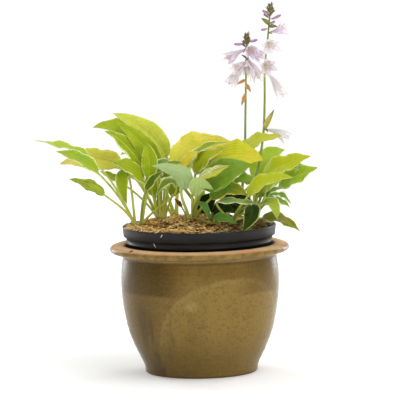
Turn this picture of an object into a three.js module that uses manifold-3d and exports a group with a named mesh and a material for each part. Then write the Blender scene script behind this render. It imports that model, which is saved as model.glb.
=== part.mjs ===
// Potted hosta: a glazed stoneware pot, a nursery pot standing in it, soil, mulch, leafy shoots
// and two flower scapes.
// Millimetres, +Z up. The origin is the middle of the stoneware pot's base, and -Y is the side seen first.
import * as THREE from 'three';
import { mergeVertices } from 'three/addons/utils/BufferGeometryUtils.js';
import Module from 'manifold-3d';

const wasm = await Module();
wasm.setup();

// Driving dimensions
const GAP = 0.3;
const ROUND_SEGMENTS = 32;

const POT_HEIGHT = 192.4;
const POT_FOOT_RADIUS = 82;
const POT_RIM_RADIUS = 134;
const POT_MOUTH_RADIUS = 111;
const POT_NECK_RADIUS = 117;
const POT_RIM_DEPTH = 11;
const POT_RIM_NOSE = 5;
const POT_NECK_DROP = 3;
const POT_WALL = 8.5;
const POT_FLOOR = 12;
// Radius and height of the stoneware's outside, from its foot to the neck under its rim
const POT_OUTSIDE = [
  [84, 2], [86, 13], [97.5, 37], [107, 61], [112.7, 85], [117.4, 118], [118, 148], [115, 176],
];
const POT_OUTSIDE_STEPS = 8;
const POT_INSIDE_STEPS = 5;

const NURSERY_BASE_RADIUS = 75;
const NURSERY_WALL = 2;
const NURSERY_LIP_RADIUS = 115;
const NURSERY_LIP_TOP = 220;
const NURSERY_LIP_DEPTH = 15;
const NURSERY_LIP_STEP = 4;
const DRAIN_HOLES = 6;
const DRAIN_HOLE_RADIUS = 5;
const DRAIN_CIRCLE_RADIUS = 58;

const SOIL_TOP = 208;
const MULCH_EDGE_HEIGHT = 216.5;
const MULCH_MOUND = 15;
const MULCH_RIPPLE = 1.3;
const MULCH_RINGS = [0.92, 0.78, 0.6, 0.4, 0.2];
const MULCH_SEGMENTS = 24;

const SHOOT_RADIUS = 8;
const SHOOT_DEPTH = 12;
const SHOOT_SHOW = 5;
const SHOOT_SIDES = 8;
const HOLE_GAP = 0.6;
const BLADE_THICKNESS = 0.9;
// Least width, rows and columns of a blade's grid
const BLADE_GRIDS = [[60, 7, 4], [41, 5, 4], [29, 5, 2], [0, 4, 2]];
const BLADE_TIP_WIDTH = 1.2;
const BLADE_RISE = 0.6;
const BLADE_FULLNESS = 0.3618;
const BLADE_ROLL = 0.35;
const BLADE_WAVES = 2.3;
const PETIOLE_SIDES = 4;
const PETIOLE_STEPS = 3;
const PETIOLE_RADIUS = 1;
const PETIOLE_RADIUS_BY_WIDTH = 0.022;
const PETIOLE_TAPER = 0.7;
const PETIOLE_SPREAD = 5.2;
const PETIOLE_RISE = 0.5;
const PETIOLE_SINK = 4;

const SCAPE_RADIUS = 2.6;
const SCAPE_TIP_RADIUS = 1.2;
const SCAPE_SIDES = 5;
const SCAPE_STEPS = 9;
const PEDICEL = 7;
const PEDICEL_RADIUS = 1;
const PETALS = 6;
const PETAL_THICKNESS = 0.8;

// Small helpers
const vec = ([x, y, z]) => new THREE.Vector3(x, y, z);
const degrees = THREE.MathUtils.degToRad;

function cleaned(geometry) {
  const bare = geometry.index ? geometry.clone() : geometry;
  bare.deleteAttribute('normal');
  bare.deleteAttribute('uv');
  const merged = mergeVertices(bare, 1e-4);
  const kept = [];
  for (let i = 0; i < merged.index.count; i += 3) {
    const [a, b, c] = [0, 1, 2].map((k) => merged.index.getX(i + k));
    if (a !== b && b !== c && c !== a) kept.push(a, b, c);
  }
  merged.setIndex(kept);
  return merged;
}

function toSolid(geometry) {
  const bare = cleaned(geometry);
  return new wasm.Manifold(new wasm.Mesh({
    numProp: 3,
    vertProperties: new Float32Array(bare.attributes.position.array),
    triVerts: new Uint32Array(bare.index.array),
  }));
}

function toGeometry(solid) {
  const mesh = solid.getMesh();
  const geometry = new THREE.BufferGeometry();
  geometry.setAttribute('position', new THREE.BufferAttribute(new Float32Array(mesh.vertProperties), 3));
  geometry.setIndex(new THREE.BufferAttribute(new Uint32Array(mesh.triVerts), 1));
  geometry.computeVertexNormals();
  return geometry;
}

function joined(geometries) {
  return geometries.map(toSolid).reduce((whole, piece) => whole.add(piece));
}

function turned(profile, segments = ROUND_SEGMENTS) {
  const points = profile.map(([r, z]) => new THREE.Vector2(r, z));
  return new THREE.LatheGeometry(points, segments).rotateX(Math.PI / 2);
}

function cylinderAt(x, y, bottom, top, radius, sides) {
  return new THREE.CylinderGeometry(radius, radius, top - bottom, sides)
    .rotateX(Math.PI / 2)
    .translate(x, y, (top + bottom) / 2);
}

// A stalk along a curve, its radius going from one end's value to the other's
function stalk(curve, startRadius, endRadius, steps, sides) {
  const section = new THREE.Shape();
  section.setFromPoints(Array.from({ length: sides }, (_, k) => {
    const turn = (2 * Math.PI * k) / sides;
    return new THREE.Vector2(Math.cos(turn), Math.sin(turn));
  }));
  const geometry = new THREE.ExtrudeGeometry(section, { steps, extrudePath: curve, bevelEnabled: false });
  const centres = curve.getSpacedPoints(steps);
  const position = geometry.attributes.position;
  const point = new THREE.Vector3();
  for (let i = 0; i < position.count; i++) {
    point.fromBufferAttribute(position, i);
    const gaps = centres.map((centre) => centre.distanceTo(point));
    const nearest = gaps.indexOf(Math.min(...gaps));
    const radius = THREE.MathUtils.lerp(startRadius, endRadius, nearest / steps);
    point.sub(centres[nearest]).multiplyScalar(radius).add(centres[nearest]);
    position.setXYZ(i, point.x, point.y, point.z);
  }
  return geometry;
}

// A closed sheet over a grid of points, both faces split into triangles alike
function sheet(rows, columns, pointAt, thickness) {
  const places = [];
  for (const side of [1, -1]) {
    for (let i = 0; i <= rows; i++) {
      for (let j = 0; j <= columns; j++) {
        const { point, normal } = pointAt(i / rows, (2 * j) / columns - 1);
        places.push(...point.clone().addScaledVector(normal, (side * thickness) / 2).toArray());
      }
    }
  }
  const width = columns + 1;
  const under = (rows + 1) * width;
  const index = [];
  const band = (a, b) => index.push(a, b, a + under, b, b + under, a + under);
  for (let i = 0; i < rows; i++) {
    for (let j = 0; j < columns; j++) {
      const a = i * width + j;
      const [b, c, d] = [a + 1, a + width, a + width + 1];
      const split = j < columns / 2 ? [a, b, c, b, d, c] : [a, b, d, a, d, c];
      index.push(...split);
      index.push(...[0, 3].flatMap((k) => [split[k] + under, split[k + 2] + under, split[k + 1] + under]));
    }
    band(i * width, (i + 1) * width);
    band((i + 1) * width + columns, i * width + columns);
  }
  for (let j = 0; j < columns; j++) {
    band(j + 1, j);
    band(rows * width + j, rows * width + j + 1);
  }
  const geometry = new THREE.BufferGeometry();
  geometry.setAttribute('position', new THREE.Float32BufferAttribute(places, 3));
  geometry.setIndex(index);
  return geometry;
}

// Pots
function stonewarePot() {
  const body = new THREE.SplineCurve(POT_OUTSIDE.map(([r, z]) => new THREE.Vector2(r, z)));
  const outer = body.getPoints(POT_OUTSIDE_STEPS).map((p) => [p.x, p.y]);
  const inner = body.getPoints(POT_INSIDE_STEPS).slice(1).reverse().map((p) => [p.x - POT_WALL, p.y]);
  const rimMiddle = POT_HEIGHT - POT_RIM_DEPTH / 2 - 1;
  const rim = [-75, -40, 0, 40, 75].map(degrees).map((turn) => [
    POT_RIM_RADIUS - POT_RIM_NOSE + POT_RIM_NOSE * Math.cos(turn),
    rimMiddle + (POT_RIM_DEPTH / 2 - 0.8) * Math.sin(turn),
  ]);
  return turned([
    [0, 0], [POT_FOOT_RADIUS, 0], ...outer, [POT_NECK_RADIUS, POT_HEIGHT - POT_RIM_DEPTH - POT_NECK_DROP], ...rim,
    [POT_MOUTH_RADIUS + 3, POT_HEIGHT], [POT_MOUTH_RADIUS + 0.6, POT_HEIGHT - 1],
    [POT_MOUTH_RADIUS, POT_HEIGHT - 4],
    ...inner, [NURSERY_BASE_RADIUS + 1.5, POT_FLOOR], [0, POT_FLOOR],
  ]);
}

const nurseryFloor = POT_FLOOR + GAP;
const lipBottom = NURSERY_LIP_TOP - NURSERY_LIP_DEPTH;
const wallTopRadius = NURSERY_LIP_RADIUS - NURSERY_LIP_STEP - 1;

function nurseryPot() {
  const shell = toSolid(turned([
    [0, nurseryFloor], [NURSERY_BASE_RADIUS - 2, nurseryFloor], [NURSERY_BASE_RADIUS, nurseryFloor + 2],
    [wallTopRadius, lipBottom], [NURSERY_LIP_RADIUS - 1.5, lipBottom],
    [NURSERY_LIP_RADIUS, NURSERY_LIP_TOP - 1.5], [NURSERY_LIP_RADIUS - 1, NURSERY_LIP_TOP],
    [NURSERY_LIP_RADIUS - 3, NURSERY_LIP_TOP], [NURSERY_LIP_RADIUS - 3.6, NURSERY_LIP_TOP - 1],
    [NURSERY_LIP_RADIUS - 4.5, lipBottom + 3], [wallTopRadius - NURSERY_WALL, lipBottom - 1],
    [NURSERY_BASE_RADIUS - NURSERY_WALL, nurseryFloor + NURSERY_WALL], [0, nurseryFloor + NURSERY_WALL],
  ]));
  let pot = shell;
  for (let k = 0; k < DRAIN_HOLES; k++) {
    const turn = (2 * Math.PI * k) / DRAIN_HOLES;
    const [x, y] = [DRAIN_CIRCLE_RADIUS * Math.cos(turn), DRAIN_CIRCLE_RADIUS * Math.sin(turn)];
    pot = pot.subtract(toSolid(cylinderAt(x, y, nurseryFloor - 1, nurseryFloor + 3, DRAIN_HOLE_RADIUS, 8)));
  }
  return toGeometry(pot);
}

// Soil and mulch, with a plain hole for each shoot and scape
const mulchRadius = NURSERY_LIP_RADIUS - 5.5;
const moundHeight = (x, y) => MULCH_EDGE_HEIGHT + MULCH_MOUND * (1 - (x * x + y * y) / mulchRadius ** 2);

const SHOOTS = {
  left: [-90, -18],
  centre_left: [-56, 8],
  centre: [-12, -30],
  right: [46, -40],
  right_back: [82, 38],
  back_left: [-34, 60],
  back_centre: [8, 46],
  back_right: [38, 76],
};

// Each scape's line, from its hole to its top
const SCAPES = {
  left: [
    [62, 20, 197], [62, 20, 232], [66, 27, 270], [71, 35, 330], [73, 33, 390], [75, 30, 450], [77, 28, 497],
  ],
  right: [
    [70, 34, 197], [70, 34, 232], [80, 34, 268], [91, 35, 303], [99, 36, 350],
    [102, 37, 400], [103, 37, 450], [108, 38, 492], [113, 38, 540],
  ],
};

function withHoles(geometry, bottom, top) {
  let solid = toSolid(geometry);
  for (const [x, y] of Object.values(SHOOTS)) {
    solid = solid.subtract(toSolid(cylinderAt(x, y, bottom, top, SHOOT_RADIUS + HOLE_GAP, SHOOT_SIDES)));
  }
  for (const [[x, y]] of Object.values(SCAPES)) {
    solid = solid.subtract(toSolid(cylinderAt(x, y, bottom, top, SCAPE_RADIUS + 1.5 * HOLE_GAP, SHOOT_SIDES)));
  }
  return toGeometry(solid);
}

function pottingSoil() {
  const bottom = nurseryFloor + NURSERY_WALL + GAP;
  const slope = (wallTopRadius - NURSERY_BASE_RADIUS) / (lipBottom - nurseryFloor - 2);
  const innerRadius = (z) => NURSERY_BASE_RADIUS - NURSERY_WALL - 1 + slope * (z - nurseryFloor - 2);
  const soil = turned([
    [0, bottom], [innerRadius(bottom), bottom], [innerRadius(lipBottom - 3), lipBottom - 3],
    [innerRadius(lipBottom - 3), SOIL_TOP], [0, SOIL_TOP],
  ]);
  return withHoles(soil, SOIL_TOP - SHOOT_DEPTH, SOIL_TOP + 1);
}

function barkMulch() {
  const profile = [
    [0, SOIL_TOP + GAP], [mulchRadius - 5, SOIL_TOP + GAP], [mulchRadius - 0.5, lipBottom + 6],
    [mulchRadius, MULCH_EDGE_HEIGHT - 1.5],
    ...MULCH_RINGS.map((share) => [share * mulchRadius, moundHeight(share * mulchRadius, 0)]),
    [0, moundHeight(0, 0)],
  ];
  const geometry = turned(profile, MULCH_SEGMENTS);
  const position = geometry.attributes.position;
  for (let i = 0; i < position.count; i++) {
    const [x, y, z] = [position.getX(i), position.getY(i), position.getZ(i)];
    if (z > MULCH_EDGE_HEIGHT && Math.hypot(x, y) > 1) {
      const ripple = Math.sin(0.31 * x + 2) * Math.cos(0.37 * y) + 0.6 * Math.sin(0.9 * x + 1.1 * y);
      position.setZ(i, z + MULCH_RIPPLE * ripple);
    }
  }
  return withHoles(geometry, SOIL_TOP - 1, MULCH_EDGE_HEIGHT + MULCH_MOUND + 5);
}

// Leaves. Each row holds the shoot, the neck where the stalk ends, a place halfway along the midrib, the tip,
// the width, the way the upper side looks, the fold that lifts the two halves in degrees, the height of the
// edge's waves and, for a twisted blade, its turn towards the tip in degrees.
const LEAVES = [
  // Left shoot
  ['left', [-148, -34, 304], [-176, -40, 325], [-210, -44, 338], 36, [0.3, -0.5, 0.8], 22, 2],
  ['left', [-160, -12, 324], [-193, -16, 341], [-242, -22, 353], 24, [0.2, -0.5, 0.85], 14, 2.5, 15],
  ['left', [-139, -58, 274], [-161, -62, 288], [-190, -66, 299], 26, [0.3, -0.6, 0.8], 14, 1.8],
  ['left', [-108, -28, 306], [-113, -46, 290], [-106, -48, 258], 21, [0, -1, 0.4], 15, 1.5],
  ['left', [-80, -26, 290], [-101, -40, 312], [-126, -48, 319], 37, [0.2, -0.6, 0.8], 8, 2],
  ['left', [-73, -24, 292], [-72, -20, 322], [-77, -16, 347], 28, [0, -1, 0.1], 20, 2],
  ['left', [-78, -34, 276], [-66, -40, 293], [-53, -46, 305], 18, [0, -0.6, 0.7], 20, 1.2],
  ['left', [-32, -40, 281], [-45, -50, 291], [-61, -54, 273], 24, [-0.2, -0.6, 0.8], 10, 1.5],
  // Centre left shoot
  ['centre_left', [-46, 14, 321], [-76, 16, 360], [-126, 8, 389], 39, [-0.3, -0.8, 0.6], 16, 2.5],
  ['centre_left', [-58, 2, 304], [-82, 4, 343], [-120, -2, 376], 34, [-0.3, -0.8, 0.5], 24, 2.5],
  ['centre_left', [-66, 20, 308], [-104, 28, 358], [-156, 22, 367], 50, [-0.2, -0.7, 0.7], 15, 3.5],
  ['centre_left', [-76, 14, 312], [-87, 14, 341], [-102, 14, 367], 28, [-0.1, -0.8, 0.5], 10, 1.5],
  ['centre_left', [-80, 2, 303], [-108, -4, 342], [-138, -10, 364], 32, [0.1, -0.7, 0.7], 28, 2.5],
  ['centre_left', [-115, 34, 308], [-158, 38, 318], [-208, 40, 311], 56, [0, -0.5, 0.9], 8, 2.5],
  ['centre_left', [-119, 12, 287], [-131, 13, 294], [-147, 14, 302], 23, [0.2, -0.4, 0.9], 12, 1],
  ['centre_left', [-60, -12, 294], [-55, -24, 313], [-42, -30, 319], 25, [0, -0.7, 0.7], 12, 1.5],
  ['centre_left', [-50, -10, 288], [-44, -22, 309], [-24, -28, 317], 24, [0.1, -0.7, 0.7], 12, 1.5],
  ['centre_left', [-58, 16, 270], [-50, 20, 292], [-34, 22, 306], 26, [0, -0.6, 0.8], 10, 1.5],
  ['centre_left', [-66, 6, 264], [-70, 2, 286], [-64, -2, 300], 24, [0, -0.7, 0.7], 12, 1.5],
  ['centre_left', [-40, 14, 262], [-30, 12, 280], [-14, 8, 290], 26, [0, -0.6, 0.8], 10, 1.5],
  // Centre shoot
  ['centre', [-25, -52, 279], [-29, -61, 303], [-68, -62, 316], 37, [0.3, 0.8, 0.5], 18, 2],
  ['centre', [-4, -66, 269], [1, -80, 288], [22, -74, 280], 26, [0.2, 0.9, 0.3], 12, 1.5],
  ['centre', [-1, -60, 295], [21, -72, 305], [47, -77, 316], 27, [-0.1, -0.6, 0.8], 12, 1.5],
  ['centre', [16, -16, 314], [57, -28, 326], [97, -36, 318], 68, [0.2, -0.6, 0.8], 6, 3],
  ['centre', [8, -50, 279], [38, -62, 304], [80, -66, 315], 48, [-0.2, -0.9, 0.45], 10, 2],
  ['centre', [18, -46, 264], [44, -52, 279], [73, -56, 268], 38, [0.1, -0.6, 0.8], 8, 2],
  ['centre', [0, -66, 261], [10, -74, 253], [16, -78, 234], 14, [0.6, -0.8, 0.4], 12, 0.8],
  ['centre', [22, -76, 232], [34, -82, 239], [56, -88, 230], 21, [0, -0.6, 0.8], 8, 0.8],
  ['centre', [2, -20, 241], [13, -22, 256], [28, -22, 270], 30, [0, -0.8, 0.5], 10, 1.5],
  ['centre', [-25, -27, 250], [-30, -28, 257], [-36, -28, 263], 7.5, [0, -0.7, 0.7], 12, 0.8],
  // Right shoot
  ['right', [73, -70, 269], [99, -78, 292], [140, -88, 297], 32, [-0.2, -0.6, 0.8], 14, 2],
  ['right', [77, -78, 257], [77, -98, 243], [64, -106, 221], 27, [0, -0.9, 0.5], 15, 1.5],
  ['right', [95, -70, 257], [109, -82, 258], [115, -90, 236], 25, [0.3, -0.7, 0.6], 12, 1.2],
  ['right', [94, -34, 232], [120, -40, 231], [150, -46, 212], 32, [0.2, -0.5, 0.9], 12, 2.5],
  ['right', [27, -63, 261], [57, -68, 261], [94, -67, 256], 20, [0, -0.35, 0.9], 12, 1.5],
  ['right', [34, -12, 250], [54, -14, 263], [80, -18, 256], 28, [0, -0.6, 0.8], 10, 2],
  ['right', [58, -22, 238], [72, -26, 246], [90, -16, 240], 26, [0, -0.6, 0.8], 10, 1.5],
  ['right', [30, 0, 241], [47, 0, 250], [68, -4, 244], 32, [0, -0.6, 0.8], 10, 2],
  ['right', [20, -30, 238], [34, -34, 248], [54, -38, 240], 26, [0, -0.6, 0.8], 10, 1.5],
  ['right', [29, -17, 241], [45, -20, 246], [66, -24, 239], 26, [0, -0.6, 0.8], 10, 1.5],
  // Right back shoot
  ['right_back', [87, 58, 282], [104, 66, 312], [132, 74, 323], 45, [-0.3, -0.7, 0.7], 8, 1.5],
  ['right_back', [98, 4, 290], [128, -4, 308], [169, -12, 321], 45, [-0.2, -0.6, 0.8], 10, 2.5],
  ['right_back', [120, -2, 275], [149, -16, 293], [178, -26, 305], 34, [0, -0.7, 0.7], 12, 3],
  ['right_back', [118, 22, 285], [142, 26, 300], [162, 26, 301], 30, [0, -0.5, 0.9], 12, 2],
  ['right_back', [101, -34, 259], [119, -44, 267], [137, -50, 254], 22, [0.1, -0.4, 0.9], 18, 2.5],
  ['right_back', [103, -46, 260], [119, -58, 260], [136, -64, 249], 20, [0.1, -0.4, 0.9], 18, 2.5],
  ['right_back', [102, -18, 258], [110, -24, 270], [128, -28, 276], 22, [0, -0.5, 0.9], 18, 2],
  ['right_back', [92, -8, 280], [72, -16, 288], [52, -24, 284], 32, [0, -0.5, 0.9], 10, 2],
  ['right_back', [88, -4, 260], [102, -8, 278], [124, -12, 284], 28, [0, -0.6, 0.8], 10, 2],
  ['right_back', [116, 62, 272], [140, 76, 288], [164, 86, 284], 46, [0, 0.1, 1], 10, 2.5],
  // Back shoots, out of the first side's view
  ['back_left', [-62, 92, 286], [-88, 118, 312], [-118, 142, 314], 56, [0, 0.2, 1], 8, 2.5],
  ['back_left', [-32, 98, 282], [-36, 130, 304], [-40, 168, 300], 58, [0, 0.2, 1], 8, 2.5],
  ['back_left', [-84, 70, 276], [-118, 86, 298], [-156, 98, 294], 50, [0, 0, 1], 8, 2.5],
  ['back_centre', [-33, 34, 304], [-2, 30, 332], [56, 26, 338], 68, [-0.2, -0.65, 0.75], 10, 3],
  ['back_centre', [62, 14, 328], [89, 8, 344], [126, 0, 351], 36, [-0.1, -0.5, 0.9], 8, 2.5],
  ['back_centre', [-3, -18, 332], [-14, -34, 323], [-27, -46, 308], 18, [-0.3, -0.7, 0.7], 12, 1.5],
  ['back_centre', [-15, -6, 310], [9, -8, 334], [46, -12, 343], 28, [-0.2, -0.3, 0.9], 25, 1.5],
  ['back_centre', [-4, -18, 298], [11, -24, 321], [38, -30, 335], 36, [-0.3, -0.6, 0.8], 12, 2],
  ['back_centre', [8, 92, 292], [10, 122, 316], [14, 158, 314], 56, [0, 0.2, 1], 8, 2.5],
  ['back_right', [56, 104, 280], [72, 132, 300], [92, 162, 294], 56, [0, 0.2, 1], 8, 2.5],
  ['back_right', [84, 96, 274], [114, 114, 296], [148, 130, 290], 50, [0, 0, 1], 8, 2.5],
].map(([shoot, neck, mid, tip, width, face, fold, wave, twist = 0]) => (
  { shoot, neck, mid, tip, width, face, fold, wave, twist }
));

// Half the blade's width at a share of its length: widest at about two fifths, drawn out to a point
function bladeHalfWidth(width, along) {
  const shape = (along ** BLADE_RISE * (1 - along)) / BLADE_FULLNESS;
  return Math.max(shape * width, BLADE_TIP_WIDTH) / 2;
}

function midribOf({ neck, mid, tip }) {
  const [start, middle, end] = [neck, mid, tip].map(vec);
  const control = middle.multiplyScalar(2).sub(start.clone().add(end).multiplyScalar(0.5));
  return new THREE.QuadraticBezierCurve3(start, control, end);
}

function bladePoint(leaf, midrib, along, across) {
  const tangent = midrib.getTangent(along);
  const side = new THREE.Vector3().crossVectors(tangent, vec(leaf.face)).normalize();
  side.applyAxisAngle(tangent, degrees(leaf.twist) * along);
  const normal = new THREE.Vector3().crossVectors(side, tangent);
  const half = bladeHalfWidth(leaf.width, along);
  const out = Math.abs(across);
  const lift = half * Math.sin(degrees(leaf.fold)) * (out - BLADE_ROLL * out * out);
  const phase = leaf.width + (across < 0 ? 2 : 0);
  const ripple = Math.sin(2 * Math.PI * BLADE_WAVES * along + phase);
  const wave = leaf.wave * out * out * Math.sin(Math.PI * along) * ripple;
  const point = midrib.getPoint(along)
    .addScaledVector(side, across * half * Math.cos(degrees(leaf.fold)))
    .addScaledVector(normal, lift + wave);
  return { point, normal };
}

function blade(leaf) {
  const midrib = midribOf(leaf);
  const [, rows, columns] = BLADE_GRIDS.find(([least]) => leaf.width >= least);
  return sheet(rows, columns, (along, across) => bladePoint(leaf, midrib, along, across), BLADE_THICKNESS);
}

function petiole(leaf, [x, y]) {
  const midrib = midribOf(leaf);
  const neck = vec(leaf.neck);
  const out = new THREE.Vector3(neck.x - x, neck.y - y, 0).normalize();
  const foot = new THREE.Vector3(x, y, moundHeight(x, y) + SHOOT_SHOW / 2).addScaledVector(out, PETIOLE_SPREAD);
  const reach = neck.distanceTo(foot);
  const rise = neck.clone().sub(foot).divideScalar(reach).add(new THREE.Vector3(0, 0, PETIOLE_RISE)).normalize();
  const inward = midrib.getTangent(0);
  const curve = new THREE.CubicBezierCurve3(
    foot, foot.clone().addScaledVector(rise, 0.4 * reach),
    neck.clone().addScaledVector(inward, -0.25 * reach), neck.clone().addScaledVector(inward, PETIOLE_SINK),
  );
  const neckRadius = PETIOLE_RADIUS + PETIOLE_RADIUS_BY_WIDTH * leaf.width;
  return stalk(curve, neckRadius + PETIOLE_TAPER, neckRadius, PETIOLE_STEPS, PETIOLE_SIDES);
}

function shootStub([x, y]) {
  const top = moundHeight(x, y) + SHOOT_SHOW;
  const bottom = SOIL_TOP - SHOOT_DEPTH + GAP;
  return turned([
    [0, bottom], [SHOOT_RADIUS - 2, bottom], [SHOOT_RADIUS, bottom + 4], [SHOOT_RADIUS, top - SHOOT_SHOW - 1],
    [SHOOT_RADIUS - 2.5, top], [0, top + 1],
  ], SHOOT_SIDES).translate(x, y, 0);
}

function shoot(name) {
  const place = SHOOTS[name];
  const leaves = LEAVES.filter((leaf) => leaf.shoot === name);
  const pieces = [shootStub(place), ...leaves.flatMap((leaf) => [petiole(leaf, place), blade(leaf)])];
  return toGeometry(joined(pieces));
}

// The scapes' stems
const stemLine = (stem) => new THREE.CatmullRomCurve3(SCAPES[stem].map(vec));

function stemAt(stem, height) {
  const points = stemLine(stem).getSpacedPoints(120);
  const above = points.findIndex((point) => point.z >= height);
  const [low, high] = [points[above - 1], points[above]];
  return low.clone().lerp(high, (height - low.z) / (high.z - low.z));
}

// Flowers. Each hangs on a short pedicel that leaves the stem at a height, and opens at mouth.
// lift arches its tube, and throat is the share of its open radius where the petals part.
const FLOWERS = {
  left: [
    { name: 'lilac_side', height: 481, mouth: [46, 8, 465], radius: 11, lift: 3, throat: 0.6 },
    { name: 'lilac_front', height: 483, mouth: [84, -20, 477], radius: 12, lift: 4, throat: 0.45 },
    { name: 'lilac_middle', height: 479, mouth: [98, 6, 468], radius: 11, lift: 4, throat: 0.55 },
    { name: 'pale_front', height: 461, mouth: [60, -6, 450], radius: 12, lift: 5, throat: 0.45 },
    { name: 'pale_low_left', height: 457, mouth: [50, 24, 426], radius: 11, lift: 6, throat: 0.6 },
    { name: 'pale_low_middle', height: 464, mouth: [76, -30, 449], radius: 9, lift: 3, throat: 0.5 },
    { name: 'pale_low_right', height: 469, mouth: [92, 0, 436], radius: 12, lift: 5, throat: 0.6 },
  ],
  right: [
    { name: 'lilac_top', height: 503, mouth: [134, 26, 511], radius: 12, lift: -3, throat: 0.55 },
    { name: 'white_front', height: 489, mouth: [113, -10, 483], radius: 16, lift: 4, throat: 0.34 },
    { name: 'pink_front', height: 455, mouth: [108, -14, 454], radius: 14, lift: 4, throat: 0.4 },
    { name: 'hanging', height: 449, mouth: [129, 22, 408], radius: 10, lift: 7, throat: 0.6 },
    { name: 'wilted', height: 360, mouth: [136, 18, 345], radius: 11, lift: 6, throat: 0.6 },
  ],
};

// Where the flower itself begins, past its pedicel
function flowerStart(stem, { height, mouth }, extra = 0) {
  const start = stemAt(stem, height);
  const way = vec(mouth).sub(start).normalize();
  return start.addScaledVector(way, PEDICEL + extra);
}

// Shares of the flower's length and of its open radius, from the tube's root to the throat and between petals
const flowerProfile = (throat) => [[0, 0.14], [0.3, 0.26], [0.6, throat]];
const flowerNotch = (throat) => [0.84, 0.5 + throat / 2];
const FLOWER_CUP = 0.45;

function flower(stem, bloom) {
  const start = flowerStart(stem, bloom, GAP);
  const end = vec(bloom.mouth);
  const middle = start.clone().lerp(end, 0.5).add(new THREE.Vector3(0, 0, bloom.lift));
  const axis = new THREE.QuadraticBezierCurve3(start, middle, end);
  const around = 2 * PETALS;
  const ringPoint = (along, radius, k) => {
    const tangent = axis.getTangent(Math.min(along, 1));
    const side = new THREE.Vector3().crossVectors(tangent, new THREE.Vector3(0.3, 0.2, 1)).normalize();
    const turn = (2 * Math.PI * k) / around;
    side.applyAxisAngle(tangent, turn);
    return axis.getPoint(Math.min(along, 1)).addScaledVector(side, radius);
  };
  const places = [];
  const ring = (pointAt) => {
    for (let k = 0; k < around; k++) places.push(...pointAt(k).toArray());
  };
  const edge = (k) => (k % 2 === 0 ? [1, 1] : flowerNotch(bloom.throat));
  places.push(...start.toArray());
  const profile = flowerProfile(bloom.throat);
  for (const [along, share] of profile) {
    ring((k) => ringPoint(along, Math.max(share * bloom.radius, PEDICEL_RADIUS), k));
  }
  ring((k) => ringPoint(edge(k)[0], edge(k)[1] * bloom.radius, k));
  const tangent = axis.getTangent(1);
  ring((k) => ringPoint(edge(k)[0], edge(k)[1] * bloom.radius - PETAL_THICKNESS, k)
    .addScaledVector(tangent, 0.7 * PETAL_THICKNESS));
  const [throatAlong, throatShare] = profile.at(-1);
  ring((k) => ringPoint(throatAlong + 0.03, throatShare * bloom.radius - PETAL_THICKNESS, k));
  places.push(...axis.getPoint(FLOWER_CUP).toArray());
  const index = [];
  const last = places.length / 3 - 1;
  const rings = (last - 1) / around;
  for (let k = 0; k < around; k++) {
    const next = (k + 1) % around;
    index.push(0, 1 + next, 1 + k);
    for (let r = 0; r < rings - 1; r++) {
      const [a, b] = [1 + r * around + k, 1 + r * around + next];
      const [c, d] = [a + around, b + around];
      index.push(...(k % 2 === 0 ? [a, b, c, b, d, c] : [a, b, d, a, d, c]));
    }
    index.push(last - around + k, last - around + next, last);
  }
  const geometry = new THREE.BufferGeometry();
  geometry.setAttribute('position', new THREE.Float32BufferAttribute(places, 3));
  geometry.setIndex(index);
  return geometry;
}

// Buds and bracts on the scapes, each from a height on the stem to its tip. A bud's width is its thickest
// place.
const BUDS = {
  left: [
    { height: 489, tip: [57, 22, 488], width: 4.6 },
    { height: 491, tip: [93, 22, 494], width: 4.6 },
  ],
  right: [
    { height: 527, tip: [101, 30, 538], width: 4.6 },
    { height: 523, tip: [129, 32, 530], width: 4.8 },
    { height: 517, tip: [119, 24, 521], width: 4.6 },
    { height: 510, tip: [98, 30, 508], width: 4.2 },
  ],
};
const CROWN_BUDS = 7;
const CROWN_SPREAD = { left: 0.8, right: 1.2 };
const GOLDEN_ANGLE = 2.4;
const BRACTS = {
  left: [
    { height: 464, tip: [68, 12, 472], width: 7 },
    { height: 465, tip: [83, 12, 474], width: 6 },
    { height: 459, tip: [77, 10, 453], width: 6.5 },
    { height: 433, tip: [61, 15, 428], width: 6 },
    { height: 427, tip: [81, 21, 416], width: 6 },
    { height: 413, tip: [67, 21, 396], width: 6 },
  ],
  right: [
    { height: 356, tip: [116, 32, 388], width: 9 },
    { height: 512, tip: [123, 32, 512], width: 7 },
    { height: 515, tip: [99, 33, 525], width: 8 },
  ],
};

function bud(root, tip, width) {
  const length = root.distanceTo(tip);
  const turn = new THREE.Quaternion().setFromUnitVectors(
    new THREE.Vector3(0, 1, 0), tip.clone().sub(root).normalize(),
  );
  const middle = root.clone().lerp(tip, 0.5);
  return new THREE.SphereGeometry(1, 5, 3)
    .scale(width / 2, length / 2 + 0.5, width / 2)
    .applyQuaternion(turn)
    .translate(middle.x, middle.y, middle.z);
}

// The close buds round a scape's top, turned by the golden angle from one to the next
function crownBuds(stem) {
  const top = SCAPES[stem].at(-1)[2];
  return Array.from({ length: CROWN_BUDS }, (_, k) => {
    const turn = k * GOLDEN_ANGLE;
    const root = stemAt(stem, top - 2.6 * k - 1);
    const reach = 2.5 + CROWN_SPREAD[stem] * k;
    const tip = root.clone().add(new THREE.Vector3(
      reach * Math.cos(turn), reach * Math.sin(turn), 10 - 0.3 * k,
    ));
    return bud(root, tip, 3.4 + 0.1 * k);
  });
}

function bract(root, tip, width) {
  const leaf = {
    neck: root.toArray(), mid: root.clone().lerp(tip, 0.5).toArray(), tip: tip.toArray(),
    width, face: [0, -0.8, 0.6], fold: 25, wave: 0, twist: 0,
  };
  const midrib = midribOf(leaf);
  return sheet(2, 2, (along, across) => bladePoint(leaf, midrib, along, across), BLADE_THICKNESS);
}

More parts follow.
